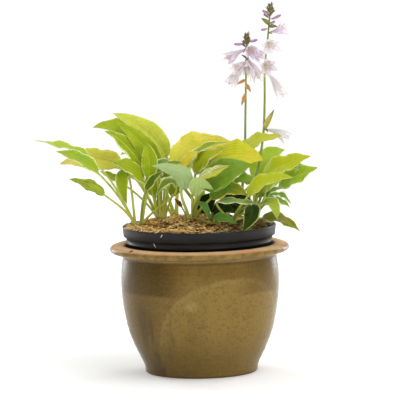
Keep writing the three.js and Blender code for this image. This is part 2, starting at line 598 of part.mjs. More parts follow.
function scape(stem) {
  const stemBody = stalk(stemLine(stem), SCAPE_RADIUS, SCAPE_TIP_RADIUS, SCAPE_STEPS, SCAPE_SIDES);
  const pedicels = FLOWERS[stem].map((bloom) => stalk(
    new THREE.LineCurve3(stemAt(stem, bloom.height), flowerStart(stem, bloom)),
    PEDICEL_RADIUS, PEDICEL_RADIUS, 1, 4,
  ));
  const buds = BUDS[stem].map(({ height, tip, width }) => bud(stemAt(stem, height), vec(tip), width));
  const bracts = BRACTS[stem].map(({ height, tip, width }) => bract(stemAt(stem, height), vec(tip), width));
  return toGeometry(joined([stemBody, ...pedicels, ...buds, ...crownBuds(stem), ...bracts]));
}

// The whole plant in its pots
const FINISH = {
  glaze: { color: 0x6f5c33, roughness: 0.35 },
  blackPlastic: { color: 0x303234, roughness: 0.45 },
  soil: { color: 0x33271c, roughness: 0.95 },
  mulch: { color: 0xb8945a, roughness: 0.9 },
  leaf: { color: 0x9bb02c, roughness: 0.5 },
  scape: { color: 0x7e9a3a, roughness: 0.5 },
  petal: { color: 0xd9c4de, roughness: 0.5 },
};

const plant = new THREE.Group();

function place(name, geometry, finish) {
  const mesh = new THREE.Mesh(geometry, new THREE.MeshStandardMaterial({ ...finish, metalness: 0 }));
  mesh.name = name;
  plant.add(mesh);
}

place('stoneware_pot', cleaned(stonewarePot()), FINISH.glaze);
place('nursery_pot', nurseryPot(), FINISH.blackPlastic);
place('potting_soil', pottingSoil(), FINISH.soil);
place('bark_mulch', barkMulch(), FINISH.mulch);
for (const name of Object.keys(SHOOTS)) place(`shoot_${name}`, shoot(name), FINISH.leaf);
for (const name of Object.keys(SCAPES)) {
  place(`scape_${name}`, scape(name), FINISH.scape);
  for (const bloom of FLOWERS[name]) place(`flower_${bloom.name}`, cleaned(flower(name, bloom)), FINISH.petal);
}

export default plant;
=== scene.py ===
import math
import random

import bpy
import numpy as np
from mathutils import Matrix, Vector


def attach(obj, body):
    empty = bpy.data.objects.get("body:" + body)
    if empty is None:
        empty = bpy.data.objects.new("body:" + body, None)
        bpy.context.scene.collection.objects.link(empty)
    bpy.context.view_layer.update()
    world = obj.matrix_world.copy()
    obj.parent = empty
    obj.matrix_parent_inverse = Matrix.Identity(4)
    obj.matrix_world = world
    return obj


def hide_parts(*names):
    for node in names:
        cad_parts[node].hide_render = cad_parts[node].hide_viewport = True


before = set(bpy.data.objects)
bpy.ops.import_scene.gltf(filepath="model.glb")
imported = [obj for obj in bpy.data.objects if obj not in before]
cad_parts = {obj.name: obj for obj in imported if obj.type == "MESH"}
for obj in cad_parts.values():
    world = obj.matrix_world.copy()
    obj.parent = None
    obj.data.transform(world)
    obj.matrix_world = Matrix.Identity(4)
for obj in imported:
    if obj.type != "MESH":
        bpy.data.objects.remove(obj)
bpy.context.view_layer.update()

# The plant and its pots are given in millimetres, and make_piece turns them into metres. All else is in
# metres. The seed makes every run draw the same.
MM = 0.001
SEED = 11
draw = random.Random(SEED)

LEAF_GLOSS = 0.022
LEAF_GAIN = 1.12
DARKEST = 0.002


# Colours are given as display values from 0 to 255
def colour(red, green, blue):
    def linear(value):
        share = value / 255
        return share / 12.92 if share < 0.04045 else ((share + 0.055) / 1.055) ** 2.4
    return (linear(red), linear(green), linear(blue), 1.0)


def leafy(red, green, blue):
    """A leaf's own colour, without the white that its gloss adds."""
    *shares, whole = colour(red, green, blue)
    return (*(max(share - LEAF_GLOSS, DARKEST) * LEAF_GAIN for share in shares), whole)


# Materials
class Graph:
    """The nodes of a material or a world."""

    def __init__(self, owner):
        owner.use_nodes = True
        self.tree = owner.node_tree

    def node(self, kind, **settings):
        made = self.tree.nodes.new("ShaderNode" + kind)
        for name, value in settings.items():
            setattr(made, name, value)
        return made

    def fill(self, node, values):
        """Links or sets a node's inputs, each under its name or number."""
        for key, value in values.items():
            if isinstance(value, bpy.types.NodeSocket):
                self.tree.links.new(value, node.inputs[key])
            else:
                node.inputs[key].default_value = value
        return node


class Paint(Graph):
    """Builds one procedural material. Its tone is the colour so far, and lay() puts another over it.

    A share or a roughness may be a tuple: a soft step, given as step() takes it.
    """

    def __init__(self, name, tint=colour):
        self.material = bpy.data.materials.new(name)
        super().__init__(self.material)
        self.shader = self.tree.nodes["Principled BSDF"]
        self.place = self.node("TexCoord").outputs["Object"]
        self.tint = tint
        self.tone = None

    def level(self, value):
        return self.step(*value) if isinstance(value, tuple) else value

    def math(self, operation, first, second=0.0, clamp=False):
        made = self.node("Math", operation=operation, use_clamp=clamp)
        return self.fill(made, {0: first, 1: second}).outputs[0]

    def times(self, first, *others):
        first = self.level(first)
        for other in others:
            first = self.math("MULTIPLY", first, self.level(other))
        return first

    def plus(self, first, second, clamp=False):
        return self.math("ADD", self.level(first), self.level(second), clamp)

    def ribs(self, value, count):
        """Rounded ribs with sharp furrows between them."""
        return self.math("ABSOLUTE", self.math("SINE", self.times(value, math.pi * count)))

    def step(self, value, low, high, to_low=0.0, to_high=1.0):
        """A soft step, up from low to high, or down where low is the higher one."""
        made = self.node("MapRange", interpolation_type="SMOOTHSTEP")
        limits = {"From Min": low, "From Max": high, "To Min": to_low, "To Max": to_high}
        return self.fill(made, {"Value": value, **limits}).outputs["Result"]

    def band(self, value, start, full, last_full, end):
        return self.times((value, start, full), (value, end, last_full))

    def noise(self, scale, detail, place=None, roughness=0.55):
        made = self.node("TexNoise")
        self.fill(made, {"Vector": self.place if place is None else place, "Scale": scale, "Detail": detail,
                         "Roughness": roughness})
        return made.outputs["Fac"]

    def patches(self, scale, detail, low, high, to_low=0.0, to_high=1.0, place=None):
        """Soft-edged patches: where noise lies between low and high."""
        return self.step(self.noise(scale, detail, place), low, high, to_low, to_high)

    def cells(self, scale):
        made = self.node("TexVoronoi")
        return self.fill(made, {"Vector": self.place, "Scale": scale}).outputs["Distance"]

    def stretched(self, scale, turn=(0, 0, 0), place=None):
        made = self.node("Mapping")
        self.fill(made, {"Vector": self.place if place is None else place, "Scale": scale, "Rotation": turn})
        return made.outputs["Vector"]

    def away(self, spot, place=None):
        """The distance from a spot."""
        made = self.node("VectorMath", operation="DISTANCE")
        return self.fill(made, {0: self.place if place is None else place, 1: spot}).outputs["Value"]

    def parts(self, vector):
        return self.fill(self.node("SeparateXYZ"), {0: vector}).outputs

    def drawn(self, name):
        return self.node("Attribute", attribute_name=name).outputs["Fac"]

    def across_blade(self):
        """On a blade's own map: along it, out from its middle to an edge, and from one edge to the other."""
        u, v, _ = self.parts(self.node("UVMap", uv_map="UVMap").outputs["UV"])
        side = self.math("SUBTRACT", self.times(v, 2.0), 1.0)
        return u, self.math("ABSOLUTE", side), side

    def flow(self, along, along_scale, side, side_scale):
        """A place on the blade's own map, for noise that runs along it."""
        made = self.node("CombineXYZ")
        self.fill(made, {0: self.times(along, along_scale), 1: self.times(side, side_scale)})
        return made.outputs[0]

    def mix(self, share, first, second):
        made = self.node("Mix", data_type="RGBA")
        return self.fill(made, {"Factor": self.level(share), 6: first, 7: second}).outputs[2]

    def pair(self, share, first, second):
        return self.mix(share, self.tint(*first), self.tint(*second))

    def lay(self, share, tint, strength=None):
        if strength is not None:
            share = self.times(share, strength)
        self.tone = self.mix(share, self.tone, self.tint(*tint))

    def shade(self, share):
        made = self.node("VectorMath", operation="SCALE")
        self.tone = self.fill(made, {0: self.tone, "Scale": share}).outputs[0]

    def bump(self, height, strength, distance):
        made = self.node("Bump")
        self.fill(made, {"Strength": strength, "Distance": distance, "Height": height})
        self.fill(self.shader, {"Normal": made.outputs["Normal"]})

    def finish(self, rough, gloss=0.5):
        values = {"Base Color": self.tone, "Roughness": self.level(rough), "Specular IOR Level": gloss}
        self.fill(self.shader, values)
        return self.material


MARGIN_FEATHER = 0.35
MARGIN_REACH = 1.25


def leaf_paint(kind, body, second, tip, vein, margin=None, margin_width=0.1, tip_share=0.6, midline=None,
               streaks=None, half=None, scorch=None, under=(168, 188, 120), veins=6, gloss=0.3):
    """A leaf: body and tip, streaks, veins, margin, scorched patches, midrib, underside, specks, and painted
    shade across its veins.
    """
    paint = Paint("leaf_" + kind, leafy)
    along, out, side = paint.across_blade()
    fine = paint.noise(260, 4)
    paint.tone = paint.pair(paint.patches(38, 3, 0.36, 0.64), body, second)
    paint.lay((along, 0.45, 1.0), tip, tip_share)
    if streaks:
        paint.lay(paint.patches(1.3, 2, 0.50, 0.54, place=paint.flow(along, 1.6, side, 7.0)), streaks)
    if half:
        paint.lay((side, 0.02, 0.2), half, 0.85)
    furrow = paint.math("POWER", paint.ribs(out, veins), 0.6)
    lines = paint.times((furrow, 0.8, 0.2), (along, 1.0, 0.7))
    paint.lay(paint.times(lines, paint.patches(52, 2, 0.3, 0.7, 0.35, 0.85)), vein)
    if margin:
        feather = paint.times(paint.math("SUBTRACT", paint.noise(110, 3), 0.5), MARGIN_FEATHER)
        start = 1.0 - MARGIN_REACH * margin_width
        paint.lay((paint.plus(out, feather), start - 0.05, start + 0.04), margin)
    if scorch:
        patch = paint.patches(2.1, 3, 0.54, 0.64, place=paint.flow(along, 2.4, side, 4.0))
        paint.lay(paint.times(patch, (along, 0.4, 0.75)), scorch)
    paint.lay((out, 0.075, 0.02), midline or vein, 0.85 if midline else 0.6)
    paint.lay(paint.drawn("side"), under, 0.6)
    specks = paint.times((paint.cells(330), 0.13, 0.05), paint.patches(45, 2, 0.56, 0.7))
    paint.lay(specks, (120, 96, 40), 0.5)
    # Random unevenness in tone, and painted shade across the veins: darker where the furrow value is high, a
    # little lighter along the vein lines
    uneven = paint.times(paint.drawn("tone"), (fine, 0.25, 0.75, 0.94, 1.06))
    paint.shade(paint.times(uneven, (furrow, 0.3, 0.95, 1.02, 0.965)))
    paint.bump(paint.plus(furrow, paint.times(fine, 0.35)), 0.48, 0.0006)
    paint.fill(paint.shader, {"Subsurface Weight": 0.2, "Subsurface Scale": 0.002,
                              "Subsurface Radius": (0.7, 1, 0.25), "Specular Tint": (0.92, 1, 0.5, 1)})
    return paint.finish((fine, 0.2, 0.8, 0.4, 0.56), gloss)


# Each kind of leaf: two tones of its body, its tip, its veins, its margin and the margin's width
LEAF_KINDS = {
    "lime_edge": ((160, 180, 44), (134, 168, 58), (184, 196, 74), (190, 200, 92), (226, 232, 164)),
    "light_lime": ((158, 182, 52), (176, 192, 70), (198, 210, 116), (192, 204, 100), (214, 222, 140), 0.08),
    "lime": ((154, 174, 34), (172, 188, 50), (176, 188, 58), (188, 200, 84), (204, 212, 110), 0.05),
    "vertical": ((148, 166, 34), (162, 180, 44), (120, 140, 30), (176, 190, 78), (206, 214, 128)),
    "olive_lime": ((146, 160, 16), (152, 166, 22), (156, 170, 32), (178, 188, 68), (222, 228, 150), 0.07),
    "ribbed": ((140, 164, 26), (156, 176, 38), (166, 182, 50), (196, 206, 84), (214, 220, 128), 0.09),
    "mottled": ((170, 180, 52), (178, 180, 54), (178, 190, 64), (200, 202, 92), (132, 158, 48), 0.2),
    "dark_edge": ((84, 106, 18), (108, 128, 28), (120, 142, 40), (140, 160, 60), (214, 222, 150), 0.16),
    # Painted shade: the hanging leaf low under the clump, its colours darkened for the shade it hangs in
    "night": ((30, 46, 6), (42, 58, 12), (62, 84, 20), (88, 106, 42), (168, 182, 110)),
    "bronze": ((112, 120, 34), (86, 112, 26), (128, 136, 44), (150, 160, 70), (206, 210, 130)),
    "arch": ((112, 128, 18), (130, 142, 28), (120, 140, 30), (160, 172, 70), (196, 212, 150), 0.3),
    "olive_rim": ((122, 140, 26), (140, 156, 38), (146, 162, 48), (160, 174, 76), (222, 228, 162), 0.14),
    "pale_rim": ((126, 152, 84), (140, 164, 92), (150, 170, 90), (164, 182, 110), (226, 232, 176), 0.16),
    "yellow_green": ((212, 214, 90), (192, 202, 62), (202, 212, 100), (206, 212, 100), (222, 222, 124), 0.07),
    "cream_edge": ((142, 162, 14), (160, 176, 30), (158, 174, 46), (172, 186, 66), (232, 236, 172), 0.12),
    "amber": ((214, 206, 72), (218, 204, 88), (216, 204, 124), (212, 204, 106), (212, 208, 112), 0.08),
    "green_edge": ((112, 144, 40), (132, 160, 56), (140, 166, 68), (158, 180, 90), (206, 220, 156)),
    "glaucous": ((160, 184, 124), (176, 198, 140), (178, 200, 130), (190, 208, 154)),
    "pale_shield": ((164, 184, 112), (178, 196, 124), (166, 186, 106), (182, 200, 136),
                    (206, 218, 156), 0.08),
    "striped": ((240, 238, 190), (232, 230, 170), (206, 160, 62), (206, 212, 120), (176, 184, 40)),
    "yellow_band": ((204, 190, 44), (216, 190, 46), (232, 176, 24), (212, 208, 92), (226, 220, 120)),
    "lime_cream": ((162, 174, 34), (176, 184, 44), (184, 176, 44), (198, 204, 86), (234, 236, 176), 0.12),
    "yellow": ((190, 190, 40), (200, 194, 46), (204, 192, 66), (206, 204, 84)),
    "golden": ((236, 222, 90), (220, 210, 66), (222, 210, 84), (226, 220, 110)),
    "gold_lime": ((186, 190, 60), (176, 188, 50), (200, 196, 78), (206, 208, 96)),
    "blue_green": ((106, 136, 46), (120, 148, 54), (140, 168, 70), (136, 164, 88), (140, 168, 86), 0.06),
    "scorched": ((98, 136, 34), (118, 150, 42), (148, 150, 46), (140, 166, 72), (214, 190, 84), 0.13),
    "dark_green": ((70, 106, 44), (82, 118, 54), (90, 128, 64), (110, 144, 84), (136, 162, 88), 0.06),
    "yellow_lime": ((180, 190, 36), (188, 194, 44), (192, 196, 66), (198, 206, 84), (214, 218, 120), 0.06),
    "light_green": ((140, 162, 50), (158, 176, 64), (162, 180, 70), (182, 196, 98), (220, 228, 156), 0.09),
    "shade": ((36, 50, 10), (50, 68, 16), (62, 82, 24), (72, 92, 34), (108, 126, 56), 0.06),
    "deep": ((108, 142, 14), (128, 158, 26), (136, 166, 36), (150, 176, 60), (170, 188, 92), 0.06),
    "bright": ((154, 180, 50), (170, 192, 62), (172, 194, 74), (192, 206, 100), (216, 226, 156), 0.07),
    "white_edge": ((96, 130, 34), (120, 150, 50), (150, 172, 90), (160, 180, 100), (226, 234, 200), 0.26),
    "withered": ((140, 100, 60), (112, 70, 40), (160, 124, 76), (134, 100, 64)),
}
# What some kinds have besides
LEAF_MARKS = {
    "ribbed": dict(veins=5),
    "mottled": dict(streaks=(92, 116, 28)),
    "dark_edge": dict(gloss=0.18),
    "night": dict(gloss=0.12),
    "bronze": dict(streaks=(160, 130, 60)),
    "arch": dict(under=(140, 150, 50)),
    "cream_edge": dict(midline=(220, 226, 150)),
    "glaucous": dict(under=(174, 196, 140)),
    "pale_shield": dict(under=(172, 192, 118)),
    "striped": dict(streaks=(128, 152, 48), half=(190, 190, 44), tip_share=0.9),
    "yellow_band": dict(tip_share=1.0),
    "yellow": dict(scorch=(204, 178, 64)),
    "golden": dict(scorch=(216, 196, 90)),
    "gold_lime": dict(scorch=(196, 160, 70)),
    "scorched": dict(scorch=(150, 84, 40)),
    "dark_green": dict(gloss=0.2),
    "shade": dict(gloss=0.1),
    "deep": dict(gloss=0.2),
    "withered": dict(under=(130, 88, 54), gloss=0.15),
}
leaf_paints = {kind: leaf_paint(kind, *tones, **LEAF_MARKS.get(kind, {}))
               for kind, tones in LEAF_KINDS.items()}


def stalk_paint():
    paint = Paint("leaf_stalk", leafy)
    along, _, _ = paint.across_blade()
    streak = paint.noise(30, 4, paint.stretched((9, 9, 1.2)))
    paint.tone = paint.pair((streak, 0.35, 0.65), (172, 182, 70), (196, 202, 100))
    paint.lay((along, 0.35, 0.0), (200, 200, 112))
    paint.lay((along, 0.06, 0.0), (190, 160, 100), 0.7)
    paint.shade(paint.drawn("tone"))
    paint.bump(streak, 0.3, 0.0005)
    return paint.finish((streak, 0.3, 0.7, 0.4, 0.54), 0.3)


def scape_paint():
    paint = Paint("scape_stem")
    streak = paint.noise(26, 4, paint.stretched((12, 12, 1)))
    paint.tone = paint.pair((streak, 0.35, 0.65), (118, 144, 34), (150, 170, 58))
    paint.lay(paint.patches(90, 3, 0.58, 0.7), (164, 176, 92))
    paint.bump(streak, 0.35, 0.0005)
    return paint.finish((streak, 0.3, 0.7, 0.34, 0.48))


def bud_paint(name, low, high, tip, rough=0.42):
    paint = Paint(name)
    along, out, _ = paint.across_blade()
    paint.tone = paint.pair(paint.patches(210, 3, 0.38, 0.62), low, high)
    paint.lay((along, 0.55, 1.0), tip)
    paint.bump(paint.ribs(out, 4), 0.35, 0.0004)
    return paint.finish(paint.patches(300, 2, 0.3, 0.7, rough - 0.06, rough + 0.08))


def petal_paint(kind, body, second, line):
    paint = Paint("petal_" + kind)
    along, out, side = paint.across_blade()
    cloud = paint.noise(2.0, 3, paint.flow(along, 1.2, side, 5.0))
    paint.tone = paint.pair((cloud, 0.35, 0.65), body, second)
    vein = paint.ribs(out, 3)
    paint.lay(paint.times((vein, 0.4, 0.05), (along, 0.1, 0.4)), line, 0.5)
    paint.lay((out, 0.7, 1.0), (248, 244, 250), 0.6)
    paint.lay(paint.times(paint.drawn("side"), (along, 0.5, 0.1)), (240, 230, 176))
    paint.bump(vein, 0.35, 0.0005)
    # Painted light: the inside of the tube glows a little, standing in for the light that comes through its
    # thin petals
    glow = paint.times(paint.drawn("side"), (along, 0.8, 0.2), 0.16)
    paint.fill(paint.shader, {"Emission Color": colour(244, 228, 206), "Emission Strength": glow,
                              "Subsurface Weight": 0.7, "Subsurface Scale": 0.004,
                              "Subsurface Radius": (1, 0.9, 1), "Sheen Weight": 0.15})
    return paint.finish((cloud, 0.3, 0.7, 0.42, 0.56), 0.35)


# Places in the glaze
DIP_CENTRE = (0.044, -0.09, 0.046)
DIP_RADIUS = 0.112
LAMP_HIGHLIGHT = (-0.014, -0.0466, 0.112)
DARK_REFLECTION_EDGE = 0.126
RIM_CHIP = (-0.101, -0.079, 0.1915)
RINGS_PER_METRE = 900.0


def glaze_paint():
    paint = Paint("stoneware_glaze")
    x, y, z = paint.parts(paint.place)
    cloud = paint.noise(14, 4)
    fine = paint.noise(620, 3)
    paint.tone = paint.pair((cloud, 0.34, 0.66), (124, 98, 44), (138, 112, 56))
    # Where the glaze lies double, from a second dip, with a paler line at its edge
    reach = paint.plus(paint.away(DIP_CENTRE), paint.times(paint.noise(9, 2), 0.02))
    paint.lay((reach, DIP_RADIUS + 0.003, DIP_RADIUS - 0.003), (148, 122, 62), 0.65)
    line = (reach, *(DIP_RADIUS + past for past in (-0.003, 0.001, 0.003, 0.007)))
    paint.lay(paint.band(*line), (172, 148, 90), 0.36)
    # A painted highlight: the pale, irregular blotch of a lamp's reflection on the glaze
    reach = paint.plus(paint.away(LAMP_HIGHLIGHT, paint.stretched((1, 0.4, 1))), paint.times(fine, 0.006))
    paint.lay((reach, 0.016, 0.004), (180, 160, 92), 0.65)
    # A painted reflection of a dark part of the room, under the rim at the left and a little at the right,
    # its lower edge soft
    level = paint.plus(z, paint.times(paint.math("SUBTRACT", cloud, 0.5), 0.012))
    band = paint.times((level, DARK_REFLECTION_EDGE - 0.003, DARK_REFLECTION_EDGE + 0.003), (z, 0.176, 0.173))
    ends = paint.plus((x, -0.018, -0.066), paint.times((x, 0.05, 0.08), 0.5), True)
    paint.lay(paint.times(band, ends), (84, 60, 8), 0.95)
    # Painted shade: darker towards the foot and on the left side, away from the lights
    paint.lay(paint.times((z, 0.085, 0.02), (x, 0.09, -0.06, 0.33, 0.64)), (88, 68, 32))
    paint.lay((x, -0.02, -0.1, 0, 0.45), (88, 72, 40))
    # Darker runs where the glaze ran down, at the lower left
    runs = paint.noise(3.2, 4, paint.stretched((9, 9, 1.1), (0, 0.42, 0)))
    run_place = paint.times((x, 0.0, -0.04, 0.1, 0.65), (z, 0.14, 0.08))
    paint.lay(paint.times((runs, 0.47, 0.6), run_place), (80, 64, 36))
    # Grain and specks
    paint.lay((fine, 0.56, 0.68), (160, 134, 76), 0.4)
    paint.lay(paint.patches(210, 3, 0.5, 0.64), (98, 74, 32), 0.34)
    paint.lay(paint.times((paint.cells(190), 0.2, 0.1), paint.patches(60, 2, 0.46, 0.6)),
              (50, 38, 18), 0.8)
    # Thin, greyer glaze in the neck under the rim, with a painted shadow line below it, under the rim's
    # overhang
    paint.lay(paint.times((z, 0.1758, 0.1776), (cloud, 0.3, 0.7, 0.3, 0.6)), (150, 134, 98))
    paint.lay(paint.band(z, 0.1712, 0.1736, 0.1742, 0.1762), (84, 64, 30), 0.6)
    # The rim: its mottled side, and its flat top nearly bare of glaze, orange at its outer edge
    radius = paint.math("SQRT", paint.plus(paint.math("POWER", x, 2.0), paint.math("POWER", y, 2.0)))
    side = paint.times((z, 0.1775, 0.180), (radius, 0.117, 0.121))
    mottled = paint.pair(paint.patches(90, 3, 0.4, 0.6), (148, 120, 64), (126, 100, 50))
    paint.tone = paint.mix(side, paint.tone, mottled)
    bare = paint.pair(paint.patches(60, 4, 0.4, 0.62), (222, 186, 136), (212, 172, 118))
    blush = paint.times((radius, 0.1245, 0.130), paint.patches(13, 3, 0.4, 0.62, 0.15, 0.9))
    top = paint.step(z, 0.1885, 0.1912)
    paint.tone = paint.mix(top, paint.tone, paint.mix(blush, bare, colour(216, 142, 98)))
    # A chip in the rim, and the bare foot
    paint.lay((paint.away(RIM_CHIP), 0.0042, 0.0028), (70, 50, 28))
    foot = paint.step(z, 0.0035, 0.0015)
    paint.lay(foot, (112, 78, 50))
    # Throwing rings, grain and runs in relief
    rings = paint.math("SINE", paint.times(paint.plus(z, paint.times(cloud, 0.01)), RINGS_PER_METRE))
    relief = paint.plus(paint.times(rings, 0.16), paint.times(fine, 0.3))
    paint.bump(paint.plus(relief, paint.times(runs, 0.8)), 0.22, 0.001)
    rough = paint.mix(paint.plus(top, foot, True), paint.step(cloud, 0.3, 0.7, 0.2, 0.32), (0.6, 0.6, 0.6, 1))
    return paint.finish(rough, 0.13)


# Two slivers of straw on the plastic: where each lies and how it leans, and how thin they are
SLIVERS = (((-0.0555, -0.1007, 0.2155), -0.5), ((-0.0655, -0.0864, 0.1995), 0.45))
SLIVER_SQUEEZE = (8, 3, 1)


def plastic_paint():
    paint = Paint("black_plastic")
    dust = paint.noise(24, 4, paint.stretched((1, 1, 4)))
    paint.tone = paint.pair((dust, 0.4, 0.75), (17, 18, 20), (32, 33, 36))
    scratch = paint.noise(16, 5, paint.stretched((1, 1, 12), (0.5, 0.2, 0)), 0.7)
    paint.lay((scratch, 0.7, 0.76), (150, 150, 150), 0.5)
    for spot, slant in SLIVERS:
        # The place is turned first and squeezed after that, so that the sliver leans
        leaning = paint.stretched((1, 1, 1), (0, slant, 0))
        turned = Matrix.Rotation(slant, 3, "Y") @ Vector(spot)
        squeezed = [share * value for share, value in zip(SLIVER_SQUEEZE, turned)]
        reach = paint.away(squeezed, paint.stretched(SLIVER_SQUEEZE, (0, 0, 0), leaning))
        paint.lay((reach, 0.0052, 0.0034), (236, 222, 190))
    paint.bump(paint.plus(paint.noise(900, 2), scratch), 0.12, 0.0006)
    return paint.finish((dust, 0.3, 0.7, 0.42, 0.58), 0.3)


def soil_paint():
    paint = Paint("potting_mix")
    lumps = paint.cells(260)
    paint.tone = paint.pair(paint.patches(120, 5, 0.35, 0.65), (34, 24, 15), (74, 54, 34))
    paint.lay((lumps, 0.16, 0.05), (120, 96, 62))
    paint.bump(lumps, 0.9, 0.002)
    return paint.finish(paint.patches(300, 2, 0.3, 0.7, 0.8, 0.96), 0.2)


def flake_paint():
    """Flakes from dark bark to pale straw, by the tone drawn for each, and darker at the right with painted
    shade where the leaves shade the mulch.
    """
    paint = Paint("bark_flake")
    drawn = paint.drawn("tone")
    grain = paint.noise(160, 4, paint.stretched((3, 3, 3)))
    streak = paint.step(grain, 0.35, 0.65)
    pale = paint.pair(streak, (250, 216, 142), (226, 180, 100))
    brown = paint.pair(streak, (190, 142, 72), (152, 106, 50))
    dark = paint.pair(streak, (98, 64, 28), (66, 42, 18))
    paint.tone = paint.mix((drawn, 0.1, 0.2), dark, brown)
    paint.tone = paint.mix((drawn, 0.34, 0.46), paint.tone, pale)
    paint.lay((drawn, 0.8, 0.95), (246, 226, 174), 0.8)
    # Painted shade: a darker olive towards the right, where the leaves shade the mulch
    paint.lay((paint.parts(paint.place)[0], 0.01, 0.055), (78, 70, 30), 0.55)
    paint.bump(grain, 0.5, 0.0006)
    return paint.finish((grain, 0.3, 0.7, 0.7, 0.9), 0.12)


# Meshes. A part is its points, its faces, its map, its tone and side at each point, and its material.
def part(points, faces, uv, coat, tone=1.0, side=0.0):
    count = len(points)
    return dict(points=np.asarray(points, float), faces=faces, uv=np.asarray(uv, float), coat=coat,
                tone=np.broadcast_to(tone, count), side=np.broadcast_to(side, count))


def unit(vectors):
    vectors = np.asarray(vectors, float)
    return vectors / np.maximum(np.linalg.norm(vectors, axis=-1, keepdims=True), 1e-9)


def add_object(name, data):
    made = bpy.data.objects.new(name, data)
    bpy.context.scene.collection.objects.link(made)
    return made


def make_piece(name, parts, slot, *nodes):
    """Joins parts into one piece that rides the root body and replaces the nodes named."""
    points = np.concatenate([p["points"] for p in parts]) * MM
    starts = np.cumsum([0] + [len(p["points"]) for p in parts])
    faces, coats, coat_index = [], [], []
    for p, start in zip(parts, starts):
        if p["coat"] not in coats:
            coats.append(p["coat"])
        faces += [tuple(int(i + start) for i in face) for face in p["faces"]]
        coat_index += [coats.index(p["coat"])] * len(p["faces"])
    mesh = bpy.data.meshes.new(name)
    mesh.from_pydata(points.tolist(), [], faces)
    for coat in coats:
        mesh.materials.append(coat)
    mesh.polygons.foreach_set("material_index", coat_index)
    mesh.polygons.foreach_set("use_smooth", [True] * len(faces))
    corners = np.empty(len(mesh.loops), int)
    mesh.loops.foreach_get("vertex_index", corners)
    uv = np.concatenate([p["uv"] for p in parts])
    mesh.uv_layers.new(name="UVMap").data.foreach_set("uv", uv[corners].astype(np.float32).ravel())
    for key in ("tone", "side"):
        values = np.concatenate([p[key] for p in parts]).astype(np.float32)
        mesh.attributes.new(key, "FLOAT", "POINT").data.foreach_set("value", values)
    mesh.update()
    piece = add_object(name, mesh)
    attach(piece, "root")
    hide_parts(*nodes)


def closed_sheet(points, coat, thickness, tone=1.0):
    """A sheet with both faces and a rim over a grid of points, rows along it and columns across it."""
    rows, columns = points.shape[0] - 1, points.shape[1] - 1
    normal = unit(np.cross(np.gradient(points, axis=1), np.gradient(points, axis=0)))
    lift = normal * np.broadcast_to(thickness, points.shape[:2])[..., None] / 2
    both = np.concatenate([(points + lift).reshape(-1, 3), (points - lift).reshape(-1, 3)])
    width = columns + 1
    under = (rows + 1) * width
    faces = []
    for i in range(rows):
        for j in range(columns):
            a = i * width + j
            quad = (a, a + 1, a + width + 1, a + width)
            faces += [quad, tuple(k + under for k in quad[::-1])]
    ring = list(range(width))
    ring += [i * width + columns for i in range(1, rows + 1)]
    ring += [rows * width + j for j in range(columns - 1, -1, -1)]
    ring += [i * width for i in range(rows - 1, 0, -1)]
    faces += [(b, a, a + under, b + under) for a, b in zip(ring, ring[1:] + ring[:1])]
    u, v = np.meshgrid(np.linspace(0, 1, rows + 1), np.linspace(0, 1, width), indexing="ij")
    uv = np.stack([u.ravel(), v.ravel()], 1)
    side = np.concatenate([np.zeros(under), np.ones(under)])
    return part(both, faces, np.concatenate([uv, uv]), coat, tone, side)


def ring_faces(rings, sides):
    """Faces between rings of points, closed at each end to one of the last two points."""
    faces = []
    for i in range(rings - 1):
        for k in range(sides):
            a, b = i * sides + k, i * sides + (k + 1) % sides
            faces.append((a, b, b + sides, a + sides))
    first, last, top = rings * sides, rings * sides + 1, (rings - 1) * sides
    for a in range(sides):
        b = (a + 1) % sides
        faces += [(first, b, a), (last, a + top, b + top)]
    return faces


def frames_along(path, up):
    """A side and an upward direction at each point of a path, turned as little as can be."""
    tangent = unit(np.gradient(path, axis=0))
    ups = [unit(np.asarray(up, float) - tangent[0] * np.dot(up, tangent[0]))]
    for t in tangent[1:]:
        ups.append(unit(ups[-1] - t * np.dot(ups[-1], t)))
    ups = np.array(ups)
    return unit(np.cross(tangent, ups)), ups


def tube(path, radii, coat, sides, up=(0, 0, 1), outline=None, tone=1.0, inner=0.0):
    """A closed tube. outline gives the radius's share at each angle from the side towards up."""
    path = np.asarray(path, float)
    count = len(path)
    side, ups = frames_along(path, up)
    turn = np.linspace(0, 2 * np.pi, sides, endpoint=False)
    share = np.ones(sides) if outline is None else outline(turn)
    reach = share[None, :] * np.broadcast_to(radii, count)[:, None]
    ring = np.cos(turn)[None, :, None] * side[:, None] + np.sin(turn)[None, :, None] * ups[:, None]
    points = path[:, None] + ring * reach[..., None]
    points = np.concatenate([points.reshape(-1, 3), path[:1], path[-1:]])
    u = np.repeat(np.linspace(0, 1, count), sides)
    v = np.tile(turn / (2 * np.pi), count)
    uv = np.concatenate([np.stack([u, v], 1), [[0, 0.5], [1, 0.5]]])
    return part(points, ring_faces(count, sides), uv, coat, tone, inner)


def turned_part(profile, coat, sides, relief=None):
    """A solid turned about the pots' axis. The profile starts and ends on the axis."""
    profile = np.asarray(profile, float)
    turn = np.linspace(0, 2 * np.pi, sides, endpoint=False)
    radius = np.repeat(profile[1:-1, :1], sides, 1)
    height = np.repeat(profile[1:-1, 1:], sides, 1)
    if relief:
        radius = radius + relief(turn[None, :], radius, height)
    points = np.stack([radius * np.cos(turn), radius * np.sin(turn), height], -1).reshape(-1, 3)
    points = np.concatenate([points, [[0, 0, profile[0, 1]], [0, 0, profile[-1, 1]]]])
    return part(points, ring_faces(len(radius), sides), np.zeros((len(points), 2)), coat)


